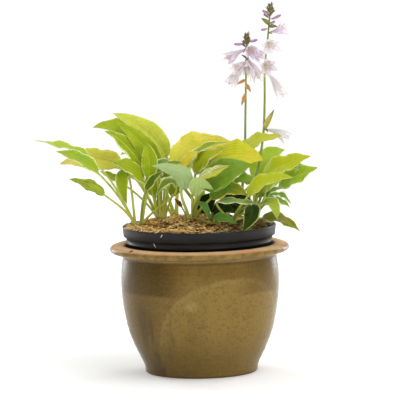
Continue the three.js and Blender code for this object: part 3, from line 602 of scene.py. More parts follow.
def rounded(profile, steps):
    """A smooth line through a few points, with more points on it."""
    profile = np.asarray(profile, float)
    ends = np.concatenate([2 * profile[:1] - profile[1:2], profile, 2 * profile[-1:] - profile[-2:-1]])
    line = []
    for p0, p1, p2, p3 in zip(ends, ends[1:], ends[2:], ends[3:]):
        for t in np.linspace(0, 1, steps, endpoint=False):
            line.append(0.5 * (2 * p1 + (p2 - p0) * t + (2 * p0 - 5 * p1 + 4 * p2 - p3) * t * t
                               + (3 * p1 - p0 - 3 * p2 + p3) * t ** 3))
    return np.array(line + [profile[-1]])


def bowed(start, control, end, t):
    """Points and directions on a simple curve, drawn towards its control point."""
    t = np.asarray(t, float)[:, None]
    points = (1 - t) ** 2 * start + 2 * (1 - t) * t * control + t ** 2 * end
    return points, unit(2 * (1 - t) * (control - start) + 2 * t * (end - control))


# Camera: a long lens from the front, a little above, turned by about a degree
CAMERA_REACH = 5.5
CAMERA_HEIGHT = math.radians(6.1)
CAMERA_ROLL = math.radians(-1.1)
CAMERA_AIM = Vector((0.0022, 0, 0.2572))
FIELD = 0.5975
SENSOR = 36.0
FAR = 100
camera_data = bpy.data.cameras.new("camera")
camera_data.sensor_width = SENSOR
camera_data.lens = SENSOR * CAMERA_REACH / FIELD
camera_data.clip_end = FAR
camera = add_object("camera", camera_data)
back = Vector((0, -math.cos(CAMERA_HEIGHT), math.sin(CAMERA_HEIGHT)))
camera.location = CAMERA_AIM + back * CAMERA_REACH
camera.rotation_mode = "QUATERNION"
camera.rotation_quaternion = (
    (-back).to_track_quat("-Z", "Y").to_matrix() @ Matrix.Rotation(CAMERA_ROLL, 3, "Z")
).to_quaternion()
bpy.context.scene.camera = camera

# Lights: where each stands, where it points, its width, height, power and tint
COOL = (0.94, 0.97, 1)
LIGHTS = {
    "light_above": ((0.8, -0.7, 2.3), (0, 0, 0.25), 1.5, 1.5, 20, (1, 1, 1)),
    "light_left": ((-1.35, 1.75, 0.7), (0, 0, 0.2), 0.6, 1.8, 21, COOL),
    "light_right": ((1.35, 1.75, 0.7), (0, 0, 0.2), 0.6, 1.8, 16, COOL),
    "light_front": ((1.2, -2.2, 1.3), (0, 0, 0.3), 1.0, 1.0, 8, (1, 1, 1)),
}
for name, (place, target, width, height, power, tint) in LIGHTS.items():
    data = bpy.data.lights.new(name, "AREA")
    data.shape = "RECTANGLE"
    data.size = width
    data.size_y = height
    data.energy = power
    data.color = tint
    light = add_object(name, data)
    light.location = place
    light.rotation_euler = (Vector(target) - Vector(place)).to_track_quat("-Z", "Y").to_euler()

# A white room, dimmer towards the front
world = bpy.data.worlds.new("studio")
room = Graph(world)
direction = room.node("TexCoord").outputs["Generated"]
back_to_front = room.fill(room.node("SeparateXYZ"), {0: direction}).outputs["Y"]
limits = {"From Min": -0.9, "From Max": 0.7, "To Min": 0.3, "To Max": 1.0}
brightness = room.fill(room.node("MapRange"), {"Value": back_to_front, **limits}).outputs["Result"]
room.fill(room.tree.nodes["Background"], {"Color": (1, 1, 1, 1), "Strength": brightness})
bpy.context.scene.world = world
bpy.context.scene.view_settings.view_transform = "Standard"
bpy.context.scene.view_settings.look = "None"

# Floor: nearly white, and it glows a little more away from the pot
FLOOR_REACH = 40
FLOOR_TONES = ((0.93, 0.93, 0.93, 1), (0.96, 0.96, 0.96, 1))
floor_mesh = bpy.data.meshes.new("floor")
corners = [(x * FLOOR_REACH, y * FLOOR_REACH, 0) for x, y in ((-1, -1), (1, -1), (1, 1), (-1, 1))]
floor_mesh.from_pydata(corners, [], [(0, 1, 2, 3)])
floor = add_object("floor", floor_mesh)
floor_paint = Paint("floor_pale")
floor_paint.tone = floor_paint.mix(floor_paint.noise(3, 2), *FLOOR_TONES)
glow = floor_paint.step(floor_paint.away((0, 0, 0)), 0.2, 0.9, 0.12, 0.36)
floor_paint.fill(floor_paint.shader, {"Emission Color": (1, 1, 1, 1), "Emission Strength": glow})
floor_mesh.materials.append(floor_paint.finish(0.9, 0.2))

# Stoneware pot
POT_HEIGHT = 192.4
POT_WALL = 8.5
POT_FLOOR = 12
POT_MOUTH = 111
RIM_RADIUS = 134
RIM_DEPTH = 11
RIM_NOSE = 5
POT_SIDES = 160
belly = [(84, 2), (86, 13), (97.5, 37), (107, 61), (112.7, 85), (117.4, 118), (118, 148), (115, 176)]
outside = rounded(belly, 7)
inside = outside[6::4][::-1] - (POT_WALL, 0)
rim_middle = POT_HEIGHT - RIM_DEPTH / 2 - 1
nose = [(RIM_RADIUS - RIM_NOSE * (1 - math.cos(turn)), rim_middle + (RIM_DEPTH / 2 - 0.8) * math.sin(turn))
        for turn in np.radians(np.linspace(-80, 80, 11))]
pot_profile = [(0, 0), (80.5, 0), (82, 0.4), *outside, (115.5, 177), (117, 178.4), (121, 179.6),
               (126, 180.8), *nose, (125, POT_HEIGHT), (116, POT_HEIGHT), (POT_MOUTH + 3, POT_HEIGHT - 0.1),
               (POT_MOUTH + 1, POT_HEIGHT - 0.7), (POT_MOUTH, POT_HEIGHT - 2.5), (POT_MOUTH, POT_HEIGHT - 6),
               *inside, (76.5, POT_FLOOR), (0, POT_FLOOR)]


def ramp(value, start, length):
    """Rises from 0 at the start to 1."""
    return np.clip((value - start) / length, 0, 1)


def throwing_marks(turn, radius, height):
    """Shallow rings left by the potter's fingers, fading towards the rim, and a slightly uneven round."""
    wall = ramp(height, 8, 20) * (1 - ramp(height, 155, 20))
    rings = 0.22 * np.sin(height * 0.62 + 0.8 * np.sin(turn)) + 0.12 * np.sin(height * 1.5 + 1.3 * turn)
    return wall * rings + 0.18 * np.sin(2 * turn + 0.7) * ramp(height, 0, 60)


planter = turned_part(pot_profile, glaze_paint(), POT_SIDES, throwing_marks)
make_piece("stoneware_planter", [planter], "glaze", "stoneware_pot")

# Nursery pot
LIP_RADIUS = 115
LIP_TOP = 220
LIP_BOTTOM = 205
WALL_TOP = 110
BASE_RADIUS = 75
BASE_HEIGHT = 12.3
BASE_WALL = 2
wall_start = BASE_HEIGHT + BASE_WALL
wall = [(BASE_RADIUS + (WALL_TOP - BASE_RADIUS) * s, wall_start + (LIP_BOTTOM - wall_start) * s)
        for s in np.linspace(0, 1, 12)]
wall = wall[:-2] + [(108.2, 195.0), (108.9, 195.4), (109.1, 196.6), (108.6, 197.2), wall[-1]]
nursery_profile = [
    (0, BASE_HEIGHT), (BASE_RADIUS - 2, BASE_HEIGHT), *wall, (110.8, LIP_BOTTOM), (112.6, LIP_BOTTOM),
    (113.4, LIP_BOTTOM + 0.6), (114.7, LIP_TOP - 2.4), (LIP_RADIUS, LIP_TOP - 1.4), (114.6, LIP_TOP - 0.3),
    (LIP_RADIUS - 1.2, LIP_TOP), (LIP_RADIUS - 3, LIP_TOP), (111.5, LIP_TOP - 0.5), (110.5, LIP_BOTTOM + 5),
    (108, LIP_BOTTOM - 1), (BASE_RADIUS - 2, wall_start), (0, wall_start)]


def moulded(turn, radius, height):
    """The thin lip is a little out of round."""
    return 0.5 * np.sin(3 * turn + 0.4) * ramp(height, 150, 60) * ramp(radius, 100, 12)


growing_pot = turned_part(nursery_profile, plastic_paint(), POT_SIDES, moulded)
make_piece("growing_pot", [growing_pot], "black_plastic", "nursery_pot")

# The soil stays as the solid, under the mulch
soil_coat = soil_paint()
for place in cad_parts["potting_soil"].material_slots:
    place.material = soil_coat

# Mulch: a dark bed under loose flakes of bark and straw
MOUND_RADIUS = 109.5
MOUND_EDGE = 216.5
MOUND_RISE = 15
BED_DEPTH = 2.5
BED_SIDES = 96
BED_ROUGH_FROM = 213.5


def mound(x, y):
    return MOUND_EDGE + MOUND_RISE * (1 - (x * x + y * y) / MOUND_RADIUS ** 2)


def ripple(x, y):
    return 1.3 * (np.sin(0.31 * x + 2) * np.cos(0.37 * y) + 0.6 * np.sin(0.9 * x + 1.1 * y))


bed_profile = [(0, 208.3), (104.5, 208.3), (109, 211)]
bed_profile += [(reach, mound(reach, 0) - BED_DEPTH) for reach in MOUND_RADIUS * np.linspace(0.995, 0.03, 26)]
bed = turned_part(bed_profile + [(0, mound(0, 0) - BED_DEPTH)], soil_paint(), BED_SIDES)
x, y, z = bed["points"].T
lumps = ripple(x, y) + 0.6 * np.sin(1.7 * x) * np.sin(1.9 * y + x)
bed["points"][:, 2] += np.where(z > BED_ROUGH_FROM, lumps, 0)
flake_coat = flake_paint()


def around(reach, turn):
    return reach * math.cos(turn), reach * math.sin(turn)


def flake(x, y, length, width, thickness, heading, tilt, roll, bend, lift, tone):
    """One bark or straw flake: a bent, tapering strip."""
    s = np.linspace(-0.5, 0.5, 5)
    strip = np.zeros((len(s), 2, 3))
    strip[..., 0] = (s * length)[:, None]
    strip[..., 1] = np.array([-0.5, 0.5]) * width * (1 - 0.55 * np.abs(2 * s) ** 2.2)[:, None]
    strip[..., 2] = (bend * (0.25 - s ** 2) * length)[:, None]
    turn = Matrix.Rotation(heading, 3, "Z") @ Matrix.Rotation(tilt, 3, "Y") @ Matrix.Rotation(roll, 3, "X")
    strip = strip @ np.array(turn).T + (x, y, mound(x, y) + ripple(x, y) + lift)
    return closed_sheet(strip, flake_coat, thickness, tone)


FLAKES = 3300
STRAW_SHARE = 0.6
flakes = []
for _ in range(FLAKES):
    reach = (MOUND_RADIUS - 4) * math.sqrt(draw.random())
    turn = draw.uniform(0, 2 * math.pi)
    straw = draw.random() < STRAW_SHARE
    length = draw.uniform(8, 20) if straw else draw.uniform(4, 10)
    reach = min(reach, MOUND_RADIUS - 2.5 - 0.35 * length)
    width = draw.uniform(1.1, 2.3) if straw else draw.uniform(2.2, 5.0)
    flakes.append(flake(
        *around(reach, turn), length, width, draw.uniform(0.4, 0.9), draw.uniform(0, 2 * math.pi),
        draw.gauss(0, 0.22), draw.gauss(0, 0.4), draw.uniform(-0.06, 0.12), draw.uniform(-2.2, 1.4),
        draw.random()))
# A heap of straw against the lip, at the left front, and a few straws that hang over it
HEAP_STRAWS = 150
HEAP_START = 99
for _ in range(HEAP_STRAWS):
    turn = math.radians(draw.uniform(186, 262))
    reach = draw.uniform(HEAP_START, 109)
    flakes.append(flake(
        *around(reach, turn), draw.uniform(6, 13), draw.uniform(1.1, 2.6), draw.uniform(0.4, 0.8),
        turn + math.pi / 2 + draw.gauss(0, 0.5), draw.gauss(0, 0.1), draw.gauss(0, 0.3), draw.uniform(0, 0.1),
        draw.uniform(1.5, 5.0) + 0.2 * (reach - HEAP_START), draw.uniform(0.3, 1)))
HANGING_STRAWS = 34
HANGING_REACH = 112
for _ in range(HANGING_STRAWS):
    turn = math.radians(draw.uniform(192, 238))
    x, y = around(HANGING_REACH, turn)
    flakes.append(flake(
        x, y, draw.uniform(6, 11), draw.uniform(1.4, 2.6), 0.6, turn + draw.gauss(0, 0.6),
        draw.uniform(0.05, 0.3), draw.gauss(0, 0.2), 0.1, LIP_TOP + 1.4 - mound(x, y) - ripple(x, y),
        draw.uniform(0.3, 1)))
make_piece("bark_flakes", [bed, *flakes], "mulch", "bark_mulch")

# Leaves of each shoot. A row holds the neck where the stalk ends, a place halfway along the midrib, the tip,
# the width, the way the upper side looks, the fold that lifts the two halves in degrees, the height of the
# edge's waves, the kind of colour and, where there is one, the blade's turn towards its tip in degrees.
LEAVES = {
    "left": [
        ((-148, -34, 304), (-176, -40, 325), (-210, -44, 338), 36, (0.3, -0.5, 0.8), 22, 2, "lime_edge"),
        ((-160, -12, 324), (-193, -16, 341), (-242, -22, 353), 24, (0.2, -0.5, 0.85), 14, 2.5,
         "light_lime", 15),
        ((-139, -58, 274), (-161, -62, 288), (-190, -66, 299), 26, (0.3, -0.6, 0.8), 14, 1.8, "mottled"),
        ((-108, -28, 306), (-113, -46, 290), (-106, -48, 258), 21, (0, -1, 0.4), 15, 1.5, "vertical"),
        ((-80, -26, 290), (-101, -40, 312), (-126, -48, 319), 37, (0.2, -0.6, 0.8), 8, 2, "olive_lime"),
        ((-73, -24, 292), (-72, -20, 322), (-77, -16, 347), 28, (0, -1, 0.1), 20, 2, "ribbed"),
        ((-78, -34, 276), (-66, -40, 293), (-53, -46, 305), 18, (0, -0.6, 0.7), 20, 1.2, "dark_edge"),
        ((-32, -40, 281), (-45, -50, 291), (-61, -54, 273), 24, (-0.2, -0.6, 0.8), 10, 1.5, "arch"),
    ],
    "centre_left": [
        ((-46, 14, 321), (-76, 16, 360), (-126, 8, 389), 39, (-0.3, -0.8, 0.6), 16, 2.5, "yellow_green"),
        ((-58, 2, 304), (-82, 4, 343), (-120, -2, 376), 34, (-0.3, -0.8, 0.5), 24, 2.5, "lime"),
        ((-66, 20, 308), (-104, 28, 358), (-156, 22, 367), 50, (-0.2, -0.7, 0.7), 15, 3.5, "lime"),
        ((-76, 14, 312), (-87, 14, 341), (-102, 14, 367), 28, (-0.1, -0.8, 0.5), 10, 1.5, "deep"),
        ((-80, 2, 303), (-108, -4, 342), (-138, -10, 364), 32, (0.1, -0.7, 0.7), 28, 2.5, "cream_edge"),
        ((-115, 34, 308), (-158, 38, 318), (-208, 40, 311), 56, (0, -0.5, 0.9), 8, 2.5, "amber"),
        ((-119, 12, 287), (-131, 13, 294), (-147, 14, 302), 23, (0.2, -0.4, 0.9), 12, 1, "cream_edge"),
        ((-60, -12, 294), (-55, -24, 313), (-42, -30, 319), 25, (0, -0.7, 0.7), 12, 1.5, "pale_rim"),
        ((-50, -10, 288), (-44, -22, 309), (-24, -28, 317), 24, (0.1, -0.7, 0.7), 12, 1.5, "olive_rim"),
        ((-58, 16, 270), (-50, 20, 292), (-34, 22, 306), 26, (0, -0.6, 0.8), 10, 1.5, "olive_lime"),
        ((-66, 6, 264), (-70, 2, 286), (-64, -2, 300), 24, (0, -0.7, 0.7), 12, 1.5, "cream_edge"),
        ((-40, 14, 262), (-30, 12, 280), (-14, 8, 290), 26, (0, -0.6, 0.8), 10, 1.5, "olive_rim"),
    ],
    "centre": [
        ((-25, -52, 279), (-29, -61, 303), (-68, -62, 316), 37, (0.3, 0.8, 0.5), 18, 2, "glaucous"),
        ((-4, -66, 269), (1, -80, 288), (22, -74, 280), 26, (0.2, 0.9, 0.3), 12, 1.5, "pale_shield"),
        ((-1, -60, 295), (21, -72, 305), (47, -77, 316), 27, (-0.1, -0.6, 0.8), 12, 1.5, "striped"),
        ((16, -16, 314), (57, -28, 326), (97, -36, 318), 68, (0.2, -0.6, 0.8), 6, 3, "yellow"),
        ((8, -50, 279), (38, -62, 304), (80, -66, 315), 48, (-0.2, -0.9, 0.45), 10, 2, "blue_green"),
        ((18, -46, 264), (44, -52, 279), (73, -56, 268), 38, (0.1, -0.6, 0.8), 8, 2, "scorched"),
        ((0, -66, 261), (10, -74, 253), (16, -78, 234), 14, (0.6, -0.8, 0.4), 12, 0.8, "dark_green"),
        ((22, -76, 232), (34, -82, 239), (56, -88, 230), 21, (0, -0.6, 0.8), 8, 0.8, "dark_green"),
        ((2, -20, 241), (13, -22, 256), (28, -22, 270), 30, (0, -0.8, 0.5), 10, 1.5, "shade"),
        ((-25, -27, 250), (-30, -28, 257), (-36, -28, 263), 7.5, (0, -0.7, 0.7), 12, 0.8, "withered"),
    ],
    "right": [
        ((73, -70, 269), (99, -78, 292), (140, -88, 297), 32, (-0.2, -0.6, 0.8), 14, 2, "yellow_lime"),
        ((77, -78, 257), (77, -98, 243), (64, -106, 221), 27, (0, -0.9, 0.5), 15, 1.5, "night"),
        ((95, -70, 257), (109, -82, 258), (115, -90, 236), 25, (0.3, -0.7, 0.6), 12, 1.2, "light_green"),
        ((94, -34, 232), (120, -40, 231), (150, -46, 212), 32, (0.2, -0.5, 0.9), 12, 2.5, "bronze"),
        ((27, -63, 261), (57, -68, 261), (94, -67, 256), 20, (0, -0.35, 0.9), 12, 1.5, "pale_rim"),
        ((34, -12, 250), (54, -14, 263), (80, -18, 256), 28, (0, -0.6, 0.8), 10, 2, "shade"),
        ((58, -22, 238), (72, -26, 246), (90, -16, 240), 26, (0, -0.6, 0.8), 10, 1.5, "shade"),
        ((30, 0, 241), (47, 0, 250), (68, -4, 244), 32, (0, -0.6, 0.8), 10, 2, "shade"),
        ((20, -30, 238), (34, -34, 248), (54, -38, 240), 26, (0, -0.6, 0.8), 10, 1.5, "shade"),
        ((29, -17, 241), (45, -20, 246), (66, -24, 239), 26, (0, -0.6, 0.8), 10, 1.5, "shade"),
    ],
    "right_back": [
        ((87, 58, 282), (104, 66, 312), (132, 74, 323), 45, (-0.3, -0.7, 0.7), 8, 1.5, "bright"),
        ((98, 4, 290), (128, -4, 308), (169, -12, 321), 45, (-0.2, -0.6, 0.8), 10, 2.5, "yellow_lime"),
        ((120, -2, 275), (149, -16, 293), (178, -26, 305), 34, (0, -0.7, 0.7), 12, 3, "bright"),
        ((118, 22, 285), (142, 26, 300), (162, 26, 301), 30, (0, -0.5, 0.9), 12, 2, "white_edge"),
        ((101, -34, 259), (119, -44, 267), (137, -50, 254), 22, (0.1, -0.4, 0.9), 18, 2.5, "white_edge"),
        ((103, -46, 260), (119, -58, 260), (136, -64, 249), 20, (0.1, -0.4, 0.9), 18, 2.5, "white_edge"),
        ((102, -18, 258), (110, -24, 270), (128, -28, 276), 22, (0, -0.5, 0.9), 18, 2, "white_edge"),
        ((92, -8, 280), (72, -16, 288), (52, -24, 284), 32, (0, -0.5, 0.9), 10, 2, "deep"),
        ((88, -4, 260), (102, -8, 278), (124, -12, 284), 28, (0, -0.6, 0.8), 10, 2, "light_green"),
        ((116, 62, 272), (140, 76, 288), (164, 86, 284), 46, (0, 0.1, 1), 10, 2.5, "green_edge"),
    ],
    "back_left": [
        ((-62, 92, 286), (-88, 118, 312), (-118, 142, 314), 56, (0, 0.2, 1), 8, 2.5, "lime"),
        ((-32, 98, 282), (-36, 130, 304), (-40, 168, 300), 58, (0, 0.2, 1), 8, 2.5, "cream_edge"),
        ((-84, 70, 276), (-118, 86, 298), (-156, 98, 294), 50, (0, 0, 1), 8, 2.5, "green_edge"),
    ],
    "back_centre": [
        ((-33, 34, 304), (-2, 30, 332), (56, 26, 338), 68, (-0.2, -0.65, 0.75), 10, 3, "golden"),
        ((62, 14, 328), (89, 8, 344), (126, 0, 351), 36, (-0.1, -0.5, 0.9), 8, 2.5, "gold_lime"),
        ((-3, -18, 332), (-14, -34, 323), (-27, -46, 308), 18, (-0.3, -0.7, 0.7), 12, 1.5, "yellow_band"),
        ((-15, -6, 310), (9, -8, 334), (46, -12, 343), 28, (-0.2, -0.3, 0.9), 25, 1.5, "cream_edge"),
        ((-4, -18, 298), (11, -24, 321), (38, -30, 335), 36, (-0.3, -0.6, 0.8), 12, 2, "lime_cream"),
        ((8, 92, 292), (10, 122, 316), (14, 158, 314), 56, (0, 0.2, 1), 8, 2.5, "lime"),
    ],
    "back_right": [
        ((56, 104, 280), (72, 132, 300), (92, 162, 294), 56, (0, 0.2, 1), 8, 2.5, "cream_edge"),
        ((84, 96, 274), (114, 114, 296), (148, 130, 290), 50, (0, 0, 1), 8, 2.5, "lime"),
    ],
}
# Where each shoot stands
SHOOTS = {
    "left": (-90, -18), "centre_left": (-56, 8), "centre": (-12, -30), "right": (46, -40),
    "right_back": (82, 38), "back_left": (-34, 60), "back_centre": (8, 46), "back_right": (38, 76),
}
BLADE_ROWS = 64
BLADE_COLUMNS = 20
BLADE_WAVES = 2.3
BLADE_TIP = 0.8
OUTLINE_PEAK = 0.3618
STALK_STEPS = 18
STALK_SIDES = 10
CROWN_RADIUS = 8
CROWN_SHOW = 5
CROWN_SHARES = [0.9, 1, 1, 1, 0.97, 0.9, 0.74, 0.5]
CROWN_DEPTH = 16
FOOT_REACH = 5.2
NECK_OVERLAP = 4
RIB_END = 0.8


def midrib_at(neck, mid, tip, t):
    """Points and directions on the midrib, a simple curve through its three places."""
    start, middle, end = (np.asarray(p, float) for p in (neck, mid, tip))
    return bowed(start, 2 * middle - (start + end) / 2, end, t)


def half_width(width, along, least=BLADE_TIP):
    return np.maximum(along ** 0.6 * (1 - along) / OUTLINE_PEAK * width, least) / 2


def blade(neck, mid, tip, width, face, fold, wave, twist, coat, tone, phase):
    # Rows lie closer together at both ends, where the outline turns
    even = np.linspace(0, 1, BLADE_ROWS + 1)
    along = 0.5 * ((1 - np.cos(np.pi * even)) / 2) + 0.5 * even
    across = np.linspace(-1, 1, BLADE_COLUMNS + 1)
    points, tangent = midrib_at(neck, mid, tip, along)
    side = unit(np.cross(tangent, face))
    turn = np.radians(twist) * along[:, None]
    side = side * np.cos(turn) + np.cross(tangent, side) * np.sin(turn)
    normal = np.cross(side, tangent)
    half = half_width(width, along)[:, None]
    out = np.abs(across)[None, :]
    lean = math.radians(fold)
    height = half * math.sin(lean) * (out - 0.35 * out ** 2)
    # The edge waves, in one long wave and two of small frills, another way on each side
    shift = width + np.where(across < 0, 2.0, 0.0)[None, :]
    swing = np.sin(np.pi * along)[:, None]
    turns = 2 * np.pi * along[:, None]
    height = height + wave * out ** 2 * swing * np.sin(BLADE_WAVES * turns + shift)
    frill = (0.12 * wave + 0.010 * width) * swing
    height += frill * out ** 3 * np.sin(6.3 * turns + 1.7 * shift + phase)
    height += 0.35 * frill * out ** 4 * np.sin(13.7 * turns + 2.9 * shift + 2 * phase)
    # The veins sink between raised ribs
    height += 0.016 * width * np.abs(np.sin(np.pi * 3.5 * out)) * swing * (1 - out ** 4)
    wide = across[None, :] * half * math.cos(lean)
    grid = points[:, None] + side[:, None] * wide[..., None] + normal[:, None] * height[..., None]
    thickness = 0.75 - 0.3 * out ** 2 + 0.25 * (1 - along[:, None]) * (1 - out) ** 6
    return closed_sheet(grid, coat, thickness, tone)


def channelled(turn):
    """A leaf stalk's section, hollowed on its upper side."""
    return 1 - 0.42 * np.exp(-((turn - np.pi / 2) / 0.55) ** 2)


def petiole(neck, mid, tip, width, face, place, tone, coat, leaf_tone):
    """A stalk from the crown to the blade's neck, and the midrib that stands out under the blade."""
    x, y = place
    neck = np.asarray(neck, float)
    away = unit(np.array([neck[0] - x, neck[1] - y, 0]))
    foot = np.array([x, y, mound(x, y) + CROWN_SHOW / 2]) + FOOT_REACH * away
    reach = np.linalg.norm(neck - foot)
    rise = unit((neck - foot) / reach + np.array([0, 0, 0.5]))
    arrival = midrib_at(neck, mid, tip, [0.0])[1][0]
    p0, p1 = foot, foot + 0.4 * reach * rise
    p2, p3 = neck - 0.25 * reach * arrival, neck + NECK_OVERLAP * arrival
    t = np.linspace(0, 1, STALK_STEPS + 1)[:, None]
    path = (1 - t) ** 3 * p0 + 3 * (1 - t) ** 2 * t * p1 + 3 * (1 - t) * t ** 2 * p2 + t ** 3 * p3
    neck_radius = 1 + 0.022 * width
    radii = neck_radius + 0.7 * (1 - t[:, 0]) ** 1.2 + 0.7 * np.exp(-t[:, 0] * 14)
    # The channel opens towards the middle of the shoot
    stalk = tube(path, radii, stalk_coat, STALK_SIDES, np.array([0, 0, 0.3]) - away, channelled, tone)
    s = np.linspace(0, RIB_END, 14)
    line, tangent = midrib_at(neck, mid, tip, s)
    normal = np.cross(unit(np.cross(tangent, face)), tangent)
    radii = neck_radius * (1 - s / RIB_END) ** 0.8 * 0.75 + 0.3
    rib = tube(line - normal * (radii[:, None] * 0.55 + 0.1), radii, coat, 6, normal[0], None, leaf_tone, 1.0)
    rib["uv"][:, 1] = 0.5 + 0.02 * (rib["uv"][:, 1] - 0.5)
    return [stalk, rib]


def lobed(turn):
    return 1 - 0.12 * np.cos(5 * turn) ** 2


def crown(place):
    """The sheathing feet of the stalks at the top of the crown."""
    x, y = place
    path = np.empty((len(CROWN_SHARES), 3))
    path[:] = x, y, mound(x, y) + CROWN_SHOW - CROWN_DEPTH
    path[:, 2] += CROWN_DEPTH * np.linspace(0, 1, len(path))
    return tube(path, CROWN_RADIUS * np.array(CROWN_SHARES), stalk_coat, 20, (0, 1, 0), lobed, 0.92)


stalk_coat = stalk_paint()
# How bright the stalks of some kinds are
STALK_SHADES = {"shade": 0.45, "night": 0.5, "dark_edge": 0.6, "dark_green": 0.55, "deep": 0.6,
                "withered": 0.5, "blue_green": 0.75, "scorched": 0.8}
for name, place in SHOOTS.items():
    parts = [crown(place)]
    for neck, mid, tip, width, face, fold, wave, kind, *twist in LEAVES[name]:
        tone = draw.uniform(0.94, 1.06)
        coat = leaf_paints[kind]
        parts += petiole(neck, mid, tip, width, face, place, tone * STALK_SHADES.get(kind, 1), coat, tone)
        phase = draw.uniform(0, 6)
        parts.append(blade(neck, mid, tip, width, face, fold, wave, sum(twist), coat, tone, phase))
    make_piece("leaves_" + name, parts, "leaf", "shoot_" + name)

# Flower scapes: places on each stem, from its foot to its top
SCAPES = {
    "left": [(62, 20, 197), (62, 20, 232), (66, 27, 270), (71, 35, 330), (73, 33, 390), (75, 30, 450),
             (77, 28, 497)],
    "right": [(70, 34, 197), (70, 34, 232), (80, 34, 268), (91, 35, 303), (99, 36, 350), (102, 37, 400),
              (103, 37, 450), (108, 38, 492), (113, 38, 540)],
}
stem_lines = {name: rounded(line, 12) for name, line in SCAPES.items()}


def stem_at(stem, height):
    line = stem_lines[stem]
    return np.array([np.interp(height, line[:, 2], line[:, k]) for k in range(3)])


# Each flower: the height where it leaves its stem, the middle of its mouth, its radius, the rise of its bow,
# its throat's share of the radius, and its colours
FLOWERS = {
    "left": [
        ("lilac_side", 481, (46, 8, 465), 11, 3, 0.6, "lilac"),
        ("lilac_front", 483, (84, -20, 477), 12, 4, 0.45, "lilac"),
        ("lilac_middle", 479, (98, 6, 468), 11, 4, 0.55, "lilac"),
        ("pale_front", 461, (60, -6, 450), 12, 5, 0.45, "pale"),
        ("pale_low_left", 457, (50, 24, 426), 11, 6, 0.6, "pale"),
        ("pale_low_middle", 464, (76, -30, 449), 9, 3, 0.5, "pale"),
        ("pale_low_right", 469, (92, 0, 436), 12, 5, 0.6, "pale"),
    ],
    "right": [
        ("lilac_top", 503, (134, 26, 511), 12, -3, 0.55, "lilac"),
        ("white_front", 489, (113, -10, 483), 16, 4, 0.34, "white"),
        ("pink_front", 455, (108, -14, 454), 14, 4, 0.4, "pink"),
        ("hanging", 449, (129, 22, 408), 10, 7, 0.6, "pale"),
        ("wilted", 360, (136, 18, 345), 11, 6, 0.6, "white"),
    ],
}
PETAL_TONES = {
    "lilac": ((222, 192, 230), (232, 212, 234), (198, 162, 216)),
    "pale": ((240, 220, 232), (246, 232, 238), (224, 200, 222)),
    "white": ((246, 238, 242), (250, 244, 246), (232, 218, 232)),
    "pink": ((240, 214, 232), (244, 226, 236), (222, 190, 222)),
}
petal_paints = {kind: petal_paint(kind, *tones) for kind, tones in PETAL_TONES.items()}
filament_coat = bud_paint("stamen_filament", (240, 236, 226), (246, 242, 236), (236, 226, 200), 0.5)
anther_coat = bud_paint("stamen_anther", (226, 204, 148), (214, 184, 132), (200, 164, 124), 0.7)
dark_bud = bud_paint("bud_dark", (104, 84, 58), (132, 122, 66), (92, 62, 80))
lilac_bud = bud_paint("bud_lilac", (184, 144, 180), (210, 176, 208), (168, 124, 166))
green_bract = bud_paint("bract_green", (132, 136, 58), (166, 160, 80), (124, 92, 58))
dry_bract = bud_paint("bract_dry", (214, 164, 84), (226, 186, 116), (186, 116, 66), 0.6)
yellow_bract = bud_paint("bract_yellow", (206, 190, 88), (220, 204, 112), (150, 160, 70))
stem_coat = scape_paint()

GOLDEN_ANGLE = 2.4
PEDICEL = 7
PEDICEL_GAP = 0.3
PETALS = 6
PETAL_ROWS = 18
PETAL_COLUMNS = 8
PETAL_THICKNESS = 0.45
STAMENS = 6
FILAMENT_RADIUS = 0.32
FLOWER_ALONG = [0, 0.15, 0.3, 0.45, 0.6, 0.84, 1.0]


